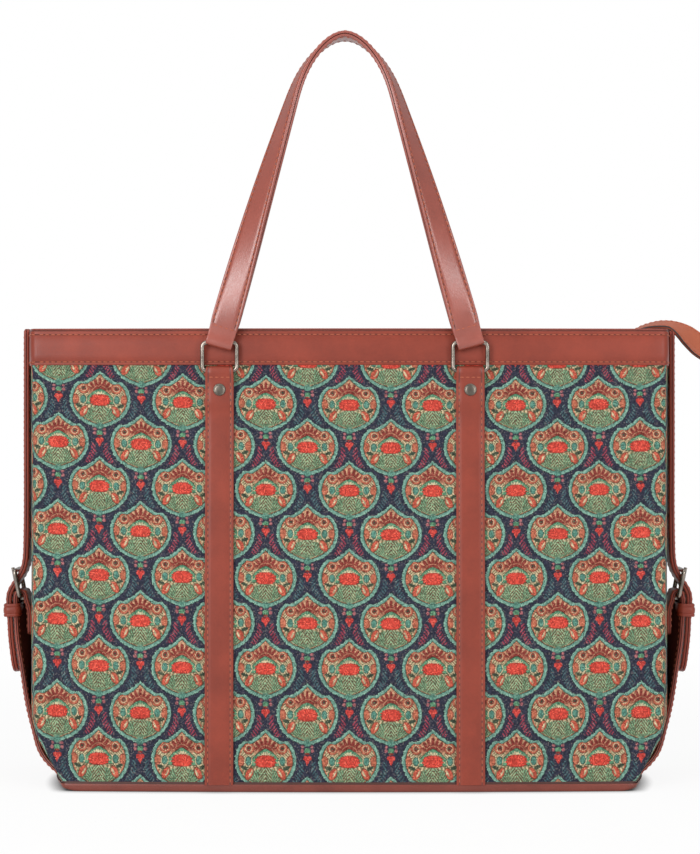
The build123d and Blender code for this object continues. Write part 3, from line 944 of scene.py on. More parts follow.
def print_place(x, z):
    """Where a point of a panel lies on the cloth, in metres of cloth: the rows widen downwards and sag."""
    pixel = photo_middle_row + (camera_level - z) / front_scale
    share = x / (250 * front_scale)
    row = (pixel - first_row_pixel) / (row_pixels + 8 * row_growth)
    sag = -(3.0 - 0.12 * row) * share ** 2 + (2.1 - 0.21 * row) * share
    wanted = pixel - sag - first_row_pixel
    root = np.sqrt(np.maximum(row_pixels ** 2 + 4 * row_growth * wanted, 1.0))
    row = (root - row_pixels) / (2 * row_growth)
    return np.stack([x * MM, -row * (print_row / 2) * MM], axis=-1)


def ripple(x, z):
    """Slack of the cloth, in millimetres out of its even shape."""
    values = np.zeros(len(x))
    for i, (a, b) in enumerate(zip(x, z)):
        slow = noise.noise(Vector((a / 70.0, b / 95.0, 3.1)))
        quick = noise.noise(Vector((a / 16.0, b / 40.0, 8.4)))
        near_band = math.exp(-max(band_bottom - b, 0) / 16.0)
        values[i] = 0.55 * slow + 0.2 * quick * (0.4 + near_band) - 0.25
    hem = np.clip((band_bottom - z) / 10.0, 0, 1) * np.clip((z - 8.0) / 12.0, 0, 1)
    return values * hem


def canvas_levels():
    low = [floor_level + panel_corner_radius * (1 - math.cos(a)) for a in np.linspace(0.06, math.pi / 2, 18)]
    rest = np.linspace(floor_level + panel_corner_radius, edge_level - 0.4, 62)[1:]
    return low + list(rest)


def canvas_piece(name, rows, cloth, flip, nodes):
    """A sheet of canvas from its rows of points, thickened inwards."""
    piece = mesh_piece(
        name, turned(np.concatenate(rows), flip), grid_faces(len(rows), len(rows[0])), [canvas_material],
        uvs=np.concatenate(cloth), sharp=60,
    )
    solid = piece.modifiers.new("cloth", "SOLIDIFY")
    solid.thickness = canvas_thickness * 0.9 * MM
    solid.offset = -1.0
    fitted(piece, "canvas", *nodes)


def canvas_panel(name, nodes, flip):
    """Front or back canvas, wrapped a little way round into the gussets."""
    rows = []
    cloth = []
    for z in canvas_levels():
        half = quarter_loop(z)
        front = half[:front_steps + 1]
        arc = half[front_steps + 1:front_steps + 1 + arc_steps]
        left_arc = np.stack([-arc[:, 0], arc[:, 1]], axis=1)[::-1]
        row = np.concatenate([left_arc, front, arc], axis=0)
        run = running(row)
        run -= run[-1] / 2
        row[:, 1] -= ripple(run, np.full(len(run), z))
        rows.append(np.concatenate([row, np.full((len(row), 1), z)], axis=1))
        cloth.append(print_place(run, np.full(len(run), z)))
    canvas_piece(name, rows, cloth, flip, nodes)


def canvas_gusset(name, node, flip):
    """Side of the bag, which curves under into the base."""
    rows = []
    cloth = []
    start = front_steps + arc_steps
    for z in canvas_levels():
        row = quarter_loop(z)[start:start + side_steps + 1]
        ys = row[:, 1]
        dent = 0.315 * np.sin(np.clip((z - 30) / 240, 0, 1) * math.pi) * (1 - (ys / ys.max()) ** 2)
        rows.append(np.stack([row[:, 0] - dent, ys, np.full(len(ys), z)], axis=1))
        cloth.append(print_place(ys, np.full(len(ys), z)))
    canvas_piece(name, rows, cloth, flip, [node])


def make_canvas():
    for end, flip in (("front", False), ("back", True)):
        canvas_panel(end + "_canvas", [end + "_panel", end + "_medallions", end + "_flowers"], flip)
    for end, flip in (("right", False), ("left", True)):
        canvas_gusset(end + "_gusset_canvas", end + "_gusset", flip)


# Leather round the top edge and under the base

def make_top_band():
    """One strip folded over the top edge, rolled at the fold, with a seam near each border."""
    out = band_thickness - band_room
    inside = -canvas_thickness - band_thickness
    top = bag_height
    low = band_bottom
    profile = [
        (0.05, low), (out - 0.45, low - 0.02), (out - 0.1, low + 0.35),
        (out - 0.08, low + seam_in - seam_half), (out - 0.42, low + seam_in),
        (out - 0.08, low + seam_in + seam_half), (out, low + 7), (out, low + 12),
        (out - 0.06, top - band_seam - seam_half), (out - 0.42, top - band_seam),
        (out - 0.06, top - band_seam + seam_half), (out - 0.05, top - 2.0), (out - 0.55, top - 1.3),
        (out - 0.15, top - 0.75), (out - 0.7, top - 0.1), (-0.8, top),
        (inside + 1.2, top - 0.05), (inside + 0.35, top - 0.7), (inside, top - 2.0),
        (inside, edge_level - band_turn_in), (-canvas_thickness, edge_level - band_turn_in),
        (-canvas_thickness, edge_level - 1), (-0.1, edge_level - 1),
    ]
    vertices = rings_mesh(profile)
    faces = ring_faces(len(profile), loop_size)
    # Rows 3, 4, 8 and 9 are the seams' grooves and rows 11 and 12 a groove under the top edge: the darker
    # leather there is painted shade.
    shaded_rows = (3, 4, 8, 9, 11, 12)
    paint = [1 if i // loop_size in shaded_rows else 0 for i in range(len(faces))]
    piece = mesh_piece("top_band", vertices, faces, [leather_material, seam_shade_leather], face_material=paint)
    fitted(piece, "leather", "front_top_band", "back_top_band", "left_top_band", "right_top_band")
    runs = []
    for z in (low + seam_in, top - band_seam):
        line, normals = loop_line(z, out - 0.05)
        runs.append(stitch_points(line, normals, stitch_pitch * 0.95))
    stitches("top_band_stitches", runs, "bag")


def make_base():
    """Leather under the base, turned up over the foot of the canvas."""
    out = base_lip_thickness
    top = lip_top
    profile = [
        (-6.0, 0.05), (-1.0, 0.0), (0.5, 0.05), (out - 0.25, 0.3), (out, 0.9), (out + 0.05, 2.0),
        (out + 0.05, 3.4), (out, top - 0.6), (out - 0.25, top - 0.1), (0.4, top - 0.2), (0.25, top + 1.2),
        (-0.5, top + 1.3),
    ]
    vertices = rings_mesh(profile)
    faces = grid_faces(len(profile), loop_size, closed=True)
    # Row 0 is the underside and row 8 the lip's cut top edge, both dark raw edge; rows 9 and 10, where the
    # canvas turns in above the lip, are painted shadow.
    cut_and_shadow_rows = (0, 8, 9, 10)
    paint = [1 if i // loop_size in cut_and_shadow_rows else 0 for i in range(len(faces))] + [0]
    faces.append(tuple(reversed(range(loop_size))))
    piece = mesh_piece("base_cover", vertices, faces, [base_leather, raw_edge_and_shadow], face_material=paint)
    fitted(piece, "leather", "base_leather", "base_canvas")


# Straps down the panels

canvas_lean = math.asin((ring_bar_level - crown_z) / crown_radius)
bar_stand = loop_thickness + ring_fit + ring_wire / 2
handle_loop_radius = handle_loop_thickness + ring_fit + ring_wire / 2
ring_reach = ring_height - ring_wire
strap_places = (strap_shift - strap_spacing / 2, strap_shift + strap_spacing / 2)


def from_bar(x, out, up):
    """A place given out of the canvas and up along it, from the level of a ring's lower bar."""
    foot = float(depth(strap_spacing / 2, ring_bar_level))
    y = -foot - out * math.cos(canvas_lean) + up * math.sin(canvas_lean)
    z = ring_bar_level + out * math.sin(canvas_lean) + up * math.cos(canvas_lean)
    return np.array([x, y, z])


def strap_route(x):
    """Middle of the leather: up the canvas, out over the fold, round the bar and down behind itself."""
    flat = []
    half = strap_thickness / 2
    for z in np.linspace(lip_top - 0.5, ring_bar_level - fold_length - 9, 30):
        flat.append((x, -float(depth(x, z, half)), z))
    outer = fold_thickness - 0.95
    route = [from_bar(x, half + 0.05, -fold_length - 4), from_bar(x, half + 0.6, -fold_length + 1)]
    route += [from_bar(x, outer - 0.1, -fold_length + 6), from_bar(x, outer, -15)]
    route += [from_bar(x, outer + 0.35, -9), from_bar(x, outer + 1.35, -4)]
    loop_middle = bar_stand - loop_thickness / 2
    for turn in np.linspace(0, 180, 9):
        a = math.radians(turn)
        route.append(from_bar(x, bar_stand + loop_middle * math.cos(a), loop_middle * math.sin(a)))
    route += [from_bar(x, 0.85, -6), from_bar(x, 0.9, -13), from_bar(x, 0.9, -20)]
    return flat + route


def make_panel_strap(name, x, flip):
    centres, along, total = spline(strap_route(x), 150)
    across = np.tile([1.0, 0.0, 0.0], (len(centres), 1))
    face = unit(np.cross(across, along))
    bend = np.argmax(centres[:, 2])
    lengths = np.linspace(0, total, len(centres))
    before = lengths[bend] - lengths
    heights = np.interp(-before, [-26, -8, 0], [1.0, 0.92, 0.8])
    widths = np.interp(-before, [-10, -4, 0], [1.0, 0.98, loop_width / strap_width])
    profile = strap_profile(strap_width, strap_thickness, layers=2, seams=(1, 0))
    vertices = swept(centres, across, face, profile, widths, heights)
    faces = tube_faces(len(centres), len(profile))
    piece = mesh_piece(
        name + "_leather", turned(vertices, flip), faces, [leather_material, raw_edge_and_shadow, seam_shade_leather],
        face_material=groove_paint(profile, faces, strap_width),
    )
    fitted(piece, "leather", name)
    shown = before > strap_cross_seam + 0.3
    edge = strap_width / 2 - seam_in
    surface = centres + face * (strap_thickness / 2 - stitch_seat) * heights[:, None]
    runs = edge_seams(surface, across, face, edge, shown, flip)
    row = int(np.argmin(np.abs(before - strap_cross_seam)))
    runs.append(cross_stitches(surface[row], across[row], face[row], edge, flip))
    stitches(name + "_stitches", runs, "bag")


def lathe(profile, middle, axis, steps=40):
    """Places of a turned shape: profile is (radius, height) along axis from middle."""
    axis = unit(axis)
    side_a = unit(np.cross(axis, [0.0, 0.0, 1.0]))
    side_b = np.cross(axis, side_a)
    vertices = []
    for radius, height in profile:
        for step in range(steps):
            a = 2 * math.pi * step / steps
            spoke = side_a * math.cos(a) + side_b * math.sin(a)
            vertices.append(middle + axis * height + spoke * radius)
    return vertices


def make_rivets(name, flip):
    """Two domed rivets with a turned rim, each with its post and the washer inside."""
    back = -fold_thickness - canvas_thickness
    profile = [
        (0.05, 1.02), (1.2, 1.0), (2.2, 0.93), (2.75, 0.84), (2.95, 0.74), (3.1, 0.86), (3.4, 0.93),
        (3.75, 0.82), (3.96, 0.52), (rivet_radius, 0.2), (3.9, 0.0), (rivet_post, -0.1),
        (rivet_post, back), (3.4, back - 0.1), (3.4, back - rivet_washer), (0.05, back - rivet_washer),
    ]
    steps = 40
    vertices = []
    faces = []
    for x in strap_places:
        middle = from_bar(x, fold_thickness, -rivet_drop)
        outward = from_bar(x, 1, 0) - from_bar(x, 0, 0)
        start = len(vertices)
        vertices += lathe(profile, middle, outward, steps)
        faces += tube_faces(len(profile), steps, start)
    piece = mesh_piece(name + "_heads", turned(vertices, flip), faces, [rivet_metal], sharp=50)
    fitted(piece, "nickel", name)


# Handles

def lean_frame(degrees):
    """Up and outward directions of a piece that leans out to the front by degrees."""
    lean = math.radians(degrees)
    up = np.array([0.0, -math.sin(lean), math.cos(lean)])
    outward = np.array([0.0, -math.cos(lean), -math.sin(lean)])
    return up, outward


def ring_angle_up():
    lift = (band_thickness + handle_gap + handle_loop_radius - bar_stand) / ring_reach
    return math.degrees(math.asin(lift) - canvas_lean)


def ring_angle_down():
    lift = (fold_thickness + rivet_head + handle_gap + handle_loop_radius - bar_stand) / ring_reach
    return 180 - math.degrees(canvas_lean + math.asin(lift))


def handle_loop(base, inward, normal, across, start):
    """The fold of a handle round its ring's bar, from its middle, and the faces from a start number."""
    layer = handle_loop_thickness
    round_bar = handle_loop_radius - layer / 2
    flat = handle_thickness / 2 - layer / 2 + 0.02
    tails = (11.5, 8.5, 5.0)
    route = [base + inward * away + normal * flat for away in tails]
    for a in np.radians(np.linspace(20, -200, 12)):
        route.append(base + inward * round_bar * math.sin(a) + normal * round_bar * math.cos(a))
    route += [base + inward * away - normal * flat for away in reversed(tails)]
    steps = 60
    centres, along, _ = spline(route, steps)
    sides = np.tile(across, (steps + 1, 1))
    face = unit(np.cross(sides, along))
    if np.dot(face[0], normal) < 0:
        face = -face
    profile = strap_profile(handle_width, layer, layers=1, seams=(0, 0))
    distance = np.abs(np.arange(steps + 1) / steps - 0.5) * 2
    widths = np.interp(distance, [0.0, 0.5, 1.0], [0.92, 0.93, 0.965])
    return swept(centres, sides, face, profile, widths), tube_faces(steps + 1, len(profile), start)


def sew_handle(name, centres, across, face, lengths, left, body, flip):
    """Seams along both faces of a handle, and a row across it at each end, above the fold."""
    runs = []
    edge = handle_width / 2 - seam_in
    shown = np.minimum(lengths, left) > handle_cross_seam
    for sign in (1, -1):
        surface = centres + face * (handle_thickness / 2 - stitch_seat) * sign
        runs += edge_seams(surface, across, face * sign, edge, shown, flip)
        for away in (lengths, left):
            row = int(np.argmin(np.abs(away - handle_cross_seam)))
            runs.append(cross_stitches(surface[row], across[row], face[row] * sign, edge, flip))
    stitches(name + "_stitches", runs, body)


def make_handle(name, ring_degrees, degrees, body, flip):
    """Two layers of leather, folded round the rings and turned a quarter way up to the middle."""
    half = strap_spacing / 2
    rise = handle_rise
    right = [(half, 0), (0.8 * half, 0.285 * rise), (0.66 * half, 0.48 * rise)]
    right += [(0.44 * half, 0.77 * rise), (0.28 * half, 0.918 * rise)]
    points = right + [(0, rise)] + [(-x, y) for x, y in reversed(right)]
    steps = 220
    flat, along_flat, total = spline([(x, y, 0) for x, y in points], steps)
    up, outward = lean_frame(degrees)
    ring_up_direction, _ = lean_frame(ring_degrees)
    origin = from_bar(strap_shift, bar_stand, 0) + ring_up_direction * ring_reach

    def placed(local):
        return local[..., 0:1] * np.array([1.0, 0, 0]) + local[..., 1:2] * up + local[..., 2:3] * outward

    centres = origin + placed(flat)
    along = placed(along_flat)
    outside = np.stack([along_flat[:, 1], -along_flat[:, 0], np.zeros(steps + 1)], axis=1)
    part = 1 - np.abs(2 * np.linspace(0, 1, steps + 1) - 1)
    turn = math.pi / 2 * (np.maximum(part - 0.045, 0) / 0.955) ** 0.85
    face_flat = np.array([0, 0, 1.0]) * np.cos(turn)[:, None] + outside * np.sin(turn)[:, None]
    face = unit(placed(face_flat))
    across = unit(np.cross(along, face))
    lengths = np.linspace(0, total, steps + 1)
    from_end = np.minimum(lengths, total - lengths)
    keep = from_end > 9.4
    widths = np.interp(from_end, [0, 9, 16], [0.94, 0.96, 1.0])
    profile = strap_profile(handle_width, handle_thickness, layers=2, seams=(1, 1))
    vertices = list(swept(centres[keep], across[keep], face[keep], profile, widths[keep]))
    faces = tube_faces(int(keep.sum()), len(profile))
    paint = groove_paint(profile, faces, handle_width)

    for end, sign in ((0, 1), (steps, -1)):
        inward = along[end] * sign
        loop, loop_faces = handle_loop(centres[end], inward, face[end], across[end] * sign, len(vertices))
        vertices += list(loop)
        faces += loop_faces
        paint += [0] * len(loop_faces)
    piece = mesh_piece(
        name + "_leather", turned(vertices, flip), faces, [lit_handle_leather, raw_edge_and_shadow, seam_shade_leather],
        face_material=paint,
    )
    fitted(piece, "leather", name, body=body)
    sew_handle(name, centres, across, face, lengths, total - lengths, body, flip)


# Side straps, belts and what holds them

strap_middle = middle_half_width + band_thickness + side_gap + side_strap_thickness / 2
heel_radius = buckle_wire / 2 + buckle_fit
belt_middle = heel_radius + belt_thickness / 2
buckle_reach = buckle_length - buckle_wire
front_bar_level = heel_level + buckle_reach * math.cos(math.radians(buckle_tilt))
over_heel = heel_reach + heel_radius + belt_thickness + side_gap + side_strap_thickness / 2
inside_tab = middle_half_width + side_gap + belt_thickness / 2

strap_line = [
    (strap_middle, side_strap_top), (strap_middle, 260), (strap_middle, 215), (strap_middle, 175),
    (strap_middle + 0.3, 157), (strap_middle + 2.6, front_bar_level + 0.4),
    (over_heel - 3.8, front_bar_level - 8.0), (over_heel, heel_level + 2.2),
    (over_heel + 0.2, keeper_level + 1), (over_heel - 0.7, 98), (over_heel - 2.2, 84),
    (over_heel - 3.9, tail_end),
]
belt_line = [
    (inside_tab, 97), (inside_tab, 106), (inside_tab + 0.6, 115),
    (heel_reach - belt_middle, heel_level - 0.6),
    (heel_reach - 0.71 * belt_middle, heel_level + 0.71 * belt_middle),
    (heel_reach, heel_level + belt_middle),
    (heel_reach + 0.71 * belt_middle, heel_level + 0.71 * belt_middle),
    (heel_reach + belt_middle, heel_level - 0.6), (heel_reach + belt_middle, keeper_level + 1),
    (heel_reach + belt_middle - 1.2, 97), (218.9, 74), (215.6, 55), (213.4, 45), (211.0, 35.6),
    (207.3, 23.2), (201.4, 15.6), (193.6, 8.8), (187.6, 4.2), (182.6, 2.2),
]


ribbon_steps = 170


def belt_spread(centres, lengths):
    """Half width of a belt along its length: it widens below the heel to the whole depth of the base."""
    levels = centres[:, 2]
    down = lengths > lengths[np.argmax(levels)]
    wide = np.interp(levels, [3, 12, 32, 55, 78, 104], [48.6, 47, 38, 27, 17, side_strap_width / 2])
    return np.where(down, wide, side_strap_width / 2)


def room_inside(centres, lengths, thickness):
    """How far a belt's back edge can lean in to the gusset below its heel, in millimetres."""
    levels = centres[:, 2]
    gap = centres[:, 0] - side(np.zeros(len(centres)), levels) - thickness / 2 - 0.6
    down = lengths > lengths[np.argmax(levels)]
    return np.clip(gap, 0, 7.0) * np.clip((heel_level - levels) / 12, 0, 1) * down


def settle(points, half, room):
    """Draws a wide belt's points in: both edges with the bag's corners, and the back edge to the gusset."""
    points[:, 0] -= (middle_half_width - panel_half_width) * (points[:, 1] / panel_half_depth) ** 2
    points[:, 0] -= room * ((points[:, 1] + half) / (2 * half)) ** 1.5


def rounded_ends(lengths, total, radii, width):
    """Shares of a strap's width and thickness along it, for ends rounded to these radii."""
    widths = np.ones(len(lengths))
    heights = np.ones(len(lengths))
    for away, radius in zip((lengths, total - lengths), radii):
        if radius:
            share = np.clip(away / radius, 0, 1)
            narrow = 1 - radius / (width / 2) * (1 - np.sqrt(np.maximum(1 - (1 - share) ** 2, 0.0004)))
            widths = np.minimum(widths, narrow)
            heights = np.minimum(heights, np.interp(away, [0, 0.8], [0.7, 1.0]))
    return widths, heights


def widen(vertices, half, width):
    """Spreads a strap's points to a half width of its own at each, and keeps the rims with their seams."""
    rim = 4.0
    away = np.abs(vertices[:, 1])
    margin = width / 2 - away
    inner = away * (half - rim) / (width / 2 - rim)
    vertices[:, 1] = np.sign(vertices[:, 1]) * np.where(margin < rim, half - margin, inner)


def mirrored(points, mirror):
    return points * [-1, 1, 1] if mirror else points


def side_ribbon(name, node, line, thickness, mirror, radii, spreads=False):
    """A strap on the side of the bag, standing on edge, with its ends rounded to radii."""
    width = side_strap_width
    centres, along, total = spline([(x, 0.0, z) for x, z in line], ribbon_steps)
    lengths = np.linspace(0, total, len(centres))
    across = np.tile([0.0, 1.0, 0.0], (len(centres), 1))
    face = unit(np.cross(across, along))
    if face[0][0] < 0:
        face = -face
    widths, heights = rounded_ends(lengths, total, radii, width)
    profile = strap_profile(width, thickness, layers=2, seams=(1, 1))
    size = len(profile)
    vertices = swept(centres, across, face, profile, widths, heights)
    faces = tube_faces(len(centres), size)
    paint = groove_paint(profile, faces, width)
    half = np.full(len(centres), width / 2)
    if spreads:
        half = belt_spread(centres, lengths)
        room = room_inside(centres, lengths, thickness)
        widen(vertices, np.repeat(half, size), width)
        settle(vertices, np.repeat(half, size), np.repeat(room, size))
        # The flesh side of a wide belt faces the gusset and takes the darker leather of painted shade.
        under = {j for j in range(size) if profile[j][1] > 0.3}
        paint = [3 if {k % size for k in f} <= under else kind for f, kind in zip(faces, paint)]
    materials = [leather_material, raw_edge_and_shadow, seam_shade_leather, shaded_flesh_side]
    piece = mesh_piece(name, mirrored(vertices, mirror), faces, materials, face_material=paint)
    fitted(piece, "leather", node)

    runs = []
    shown = (lengths > 2.2) & (lengths < total - 2.2)
    inset = np.minimum(half - seam_in, np.maximum(widths * half - seam_in, 0.0))[:, None]
    for face_sign in (1, -1):
        surface = centres + face * (thickness / 2 - stitch_seat) * face_sign
        for side_sign in (-1, 1):
            run = surface + across * inset * side_sign
            if spreads:
                settle(run, half, room)
            normals = (face * face_sign)[shown]
            runs.append(stitch_points(mirrored(run[shown], mirror), mirrored(normals, mirror)))
    stitches(name + "_stitches", runs, "bag")


def make_keeper(node, mirror):
    """Leather loop that holds the strap's tail on the belt, with rolled edges."""
    inner = heel_reach + belt_middle - belt_thickness / 2 - side_gap - 0.2
    outer = over_heel + side_strap_thickness / 2 + side_gap + 0.4
    half_width = (outer - inner) / 2
    half_depth = side_strap_width / 2 + side_gap + 0.3
    corner = 2.2
    loop = []
    for start, cx, cy in ((0, 1, 1), (90, -1, 1), (180, -1, -1), (270, 1, -1)):
        for step in range(7):
            a = math.radians(start + 15 * step)
            nx = math.cos(a)
            ny = math.sin(a)
            x = cx * (half_width - corner) + corner * nx
            y = cy * (half_depth - corner) + corner * ny
            loop.append((x, y, nx, ny))
    half = keeper_height / 2
    wall = keeper_wall
    lower = [
        (0.0, -half + 0.4), (0.45, -half), (wall - 0.35, -half), (wall, -half + 0.45),
        (wall + 0.05, -half + 1.5), (wall - 0.25, -half + 2.0), (wall + 0.15, -half + 2.6),
    ]
    section = lower + [(wall + 0.3, 0.0)] + [(out, -rise) for out, rise in reversed(lower)]
    middle = (inner + outer) / 2
    sign = -1 if mirror else 1
    vertices = []
    for out, rise in section:
        for x, y, nx, ny in loop:
            across_x = middle + x + nx * out
            vertices.append((sign * across_x, y + ny * out, keeper_level + rise - 0.04 * (x + nx * out)))
    faces = ring_faces(len(section), len(loop))
    fitted(mesh_piece(node + "_leather", vertices, faces, [leather_material]), "leather", node)


def make_holes(name, mirror):
    """The punched holes of a side strap, with a dark wall and a dark disc set inside each face as painted
    shade.
    """
    centres, along, _ = spline([(x, 0.0, z) for x, z in strap_line], ribbon_steps)
    sign = -1 if mirror else 1
    vertices = []
    faces = []
    steps = 20
    face = side_strap_thickness / 2 + 0.19
    profile = [
        (0.01, face - 0.5), (hole_radius - 0.25, face - 0.5), (hole_radius - 0.1, face),
        (hole_radius + 0.25, face), (hole_radius + 0.3, -face), (hole_radius - 0.1, -face),
        (hole_radius - 0.25, 0.5 - face), (0.01, 0.5 - face),
    ]
    for level in hole_levels:
        at = int(np.argmin(np.abs(centres[:, 2] - level)))
        outward = unit(np.cross([0.0, 1.0, 0.0], along[at]))
        if outward[0] < 0:
            outward = -outward
        start = len(vertices)
        vertices += [np.array(v) * [sign, 1, 1] for v in lathe(profile, centres[at], outward, steps)]
        faces += grid_faces(len(profile), steps, start, closed=True)
    fitted(mesh_piece(name, vertices, faces, [edge_paint_and_hole_shade]), "leather")


def make_sides():
    tail_round = side_strap_width / 2 - 0.6
    for side_name, mirror in (("right", False), ("left", True)):
        strap = side_name + "_side_strap"
        belt = side_name + "_belt"
        name = side_name + "_strap_leather"
        side_ribbon(name, strap, strap_line, side_strap_thickness, mirror, (3.0, tail_round))
        side_ribbon(belt + "_leather", belt, belt_line, belt_thickness, mirror, (3.0, 0), True)
        make_keeper(side_name + "_keeper", mirror)
        make_holes(side_name + "_strap_holes", mirror)


# Zip

def tooth_block(x, inner, outer, level, rise, start):
    """Half a tooth, drawn in towards its top, and its faces from a start number."""
    slant = 0.25
    far = x + tooth_share * tooth_pitch
    top = level + rise
    points = [(x, inner, level), (far, inner, level), (far, outer, level), (x, outer, level)]
    points += [(x + slant, inner + slant, top), (far - slant, inner + slant, top)]
    points += [(far - slant, outer - slant, top), (x + slant, outer - slant, top)]
    sides = [(0, 1, 5, 4), (1, 2, 6, 5), (2, 3, 7, 6), (3, 0, 4, 7), (4, 5, 6, 7)]
    return points, [tuple(start + k for k in corners) for corners in sides]


def make_tape(name, sign, level):
    """One tape of the zip, with its rolled edge at the teeth."""
    roll = row_gap / 2
    upper = [(roll + 0.2, 0.9), (roll + 2.2, 0.9), (roll + 3.0, 0.4), (tape_half_width, 0.4)]
    lower = [(y, -z) for y, z in upper]
    profile = [(y * sign, z) for y, z in lower + list(reversed(upper))]
    count = 81
    xs = np.linspace(-zip_end, zip_end, count)
    centres = np.stack([xs, np.zeros(count), np.full(count, level)], axis=1)
    across = np.tile([0.0, 1.0, 0.0], (count, 1))
    face = np.tile([0.0, 0.0, 1.0], (count, 1))
    vertices = swept(centres, across, face, profile)
    piece = mesh_piece(name + "_tape", vertices, tube_faces(count, len(profile)), [tape_material])
    fitted(piece, "zip_tape", name + "_zip_tape")


def make_teeth(name, sign, level):
    """One row of teeth, half a step on from the other row."""
    points = []
    faces = []
    inner, outer = sorted((0.1 * sign, (row_gap / 2 + row_width) * sign))
    for i in range(int(2 * row_end / tooth_pitch)):
        x = -row_end + (i + (0.5 if sign > 0 else 0.0)) * tooth_pitch
        for rise in (row_height / 2, -row_height / 2):
            block, sides = tooth_block(x, inner, outer, level, rise, len(points))
            points += block
            faces += sides
    fitted(mesh_piece(name + "_teeth", points, faces, [tooth_material], sharp=30), "zip_tape")


def make_zip():
    """Two tapes with the teeth that lock between them, and the seams of their leather facings."""
    for name, sign in (("front", -1), ("back", 1)):
        make_tape(name, sign, zip_level + tape_thickness / 2)
        make_teeth(name, sign, zip_level + tape_thickness / 2)
    level = zip_level + tape_thickness + facing_thickness
    runs = []
    for y in (-facing_half_gap - seam_in, facing_half_gap + seam_in):
        line = [(x, y, level) for x in (2 - zip_end, zip_end - 2)]
        runs.append(stitch_points(line, [(0, 0, 1.0)] * 2))
    stitches("facing_stitches", runs, "bag")


def make_zip_tab():
    """Tan leather tab at the end of the zip, with a dark painted edge and a seam round it."""
    facing_level = zip_level + tape_thickness
    tab_line = [
        (row_end + 2, facing_level + tab_thickness / 2 + 0.3, 0),
        (row_end + 10, facing_level + tab_thickness / 2 + 3.0, 0),
        (row_end + 20, facing_level + tab_thickness / 2 + 9.0, 3),
        (row_end + 31, 305.0, 10), (row_end + 39, 305.2, 15), (row_end + 44, 303.6, 24),
        (row_end + 52, 298.6, 42), (row_end + 60, 292.0, 52), (row_end + 72, 285.0, 54),
    ]
    xs, zs, twists = zip(*tab_line)
    steps = 90
    centres, along, total = spline([(x, 0.0, z) for x, z in zip(xs, zs)], steps)
    turns = np.radians(np.interp(centres[:, 0], xs, twists))
    flat_face = np.stack([-along[:, 2], np.zeros(steps + 1), along[:, 0]], axis=1)
    face = flat_face * np.cos(turns)[:, None] + np.array([0, -1.0, 0]) * np.sin(turns)[:, None]
    across = unit(np.cross(face, along))
    profile = strap_profile(tab_width, tab_thickness, layers=2, seams=(1, 1))
    lengths = np.linspace(0, total, steps + 1)
    away = np.minimum(lengths, total - lengths)
    widths = np.interp(away, [0, 1.0, 3.0], [0.8, 0.92, 1.0])
    vertices = swept(centres, across, face, profile, widths)
    size = len(profile)
    rims = {j for j in range(size) if abs(profile[j][0]) > tab_width / 2 - 0.5}
    faces = tube_faces(steps + 1, size)
    paint = [1 if {k % size for k in corners} <= rims else 0 for corners in faces[:-2]] + [1, 1]
    piece = mesh_piece("zip_tab_leather", vertices, faces, [tab_leather, edge_paint_and_hole_shade], face_material=paint)
    fitted(piece, "tan_leather", "zip_end_tab")
    runs = []
    edge = tab_width / 2 - 1.5
    inside_ends = away > 2.5
    for sign in (1, -1):
        surface = centres + face * (tab_thickness / 2 - stitch_seat) * sign
        runs += edge_seams(surface, across, face * sign, edge, inside_ends, pitch=cross_pitch)
    stitches("zip_tab_stitches", runs, "bag")


def finish_cad_nodes():
    """Materials for the metal, leather and board pieces that stay as they are."""
    rings = [end + "_ring_" + hand for end in ("front", "back") for hand in ("left", "right")]
    fastenings = [hand + part for part in ("_buckle", "_prong") for hand in ("right", "left")]
    finishes = {
        nickel: rings + fastenings + ["zip_slider", "zip_puller"],
        leather_material: ["front_zip_facing", "back_zip_facing"],
        board_material: ["base_board"],
    }
    for material, names in finishes.items():
        for name in names:
            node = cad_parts[name]
            node.data.materials.clear()
            node.data.materials.append(material)


# Stage, lights and camera

def rays(tree):
    """1 for the rays of the camera, of a reflection and through a clear thing, and 0 for the others."""
    path = tree.nodes.new("ShaderNodeLightPath")
    kinds = ("Camera", "Glossy", "Transmission")
    return [Number(tree, path.outputs["Is " + kind + " Ray"]) for kind in kinds]


def floor_white():
    """A pale floor that the camera and the metal see as white, with a soft shadow close to the bag, and a
    painted contact shadow where ambient occlusion dims its glow under the bag.
    """
    material = bpy.data.materials.new("floor_white")
    material.use_nodes = True
    tree = material.node_tree
    tree.nodes.clear()
    out = tree.nodes.new("ShaderNodeOutputMaterial")
    diffuse = tree.nodes.new("ShaderNodeBsdfDiffuse")
    diffuse.inputs["Color"].default_value = (floor_albedo, floor_albedo, floor_albedo, 1)
    # Painted contact shadow: ambient occlusion dims the floor's glow where the bag stands.
    contact = tree.nodes.new("ShaderNodeAmbientOcclusion")
    contact.samples = 16
    contact.inputs["Distance"].default_value = painted_shadow_reach
    open_share = Number(tree, contact.outputs["AO"])
    place = tree.nodes.new("ShaderNodeTexCoord").outputs["Object"]
    apart = tree.nodes.new("ShaderNodeVectorMath")
    apart.operation = "LENGTH"
    tree.links.new(place, apart.inputs[0])
    away = ((Number(tree, apart.outputs["Value"]) - shadow_near) / shadow_fade).clamped()
    glow = tree.nodes.new("ShaderNodeEmission")
    glow.inputs["Color"].default_value = (1, 1, 1, 1)
    tree.links.new(open_share.apply("POWER", painted_shadow_depth).socket, glow.inputs["Strength"])
    camera, glossy, through = rays(tree)
    seen = camera.most(glossy).most(through) * ((1 - shadow_share) + away * shadow_share)
    mix = tree.nodes.new("ShaderNodeMixShader")
    tree.links.new(seen.socket, mix.inputs[0])
    tree.links.new(diffuse.outputs[0], mix.inputs[1])
    tree.links.new(glow.outputs[0], mix.inputs[2])
    tree.links.new(mix.outputs[0], out.inputs["Surface"])
    return material


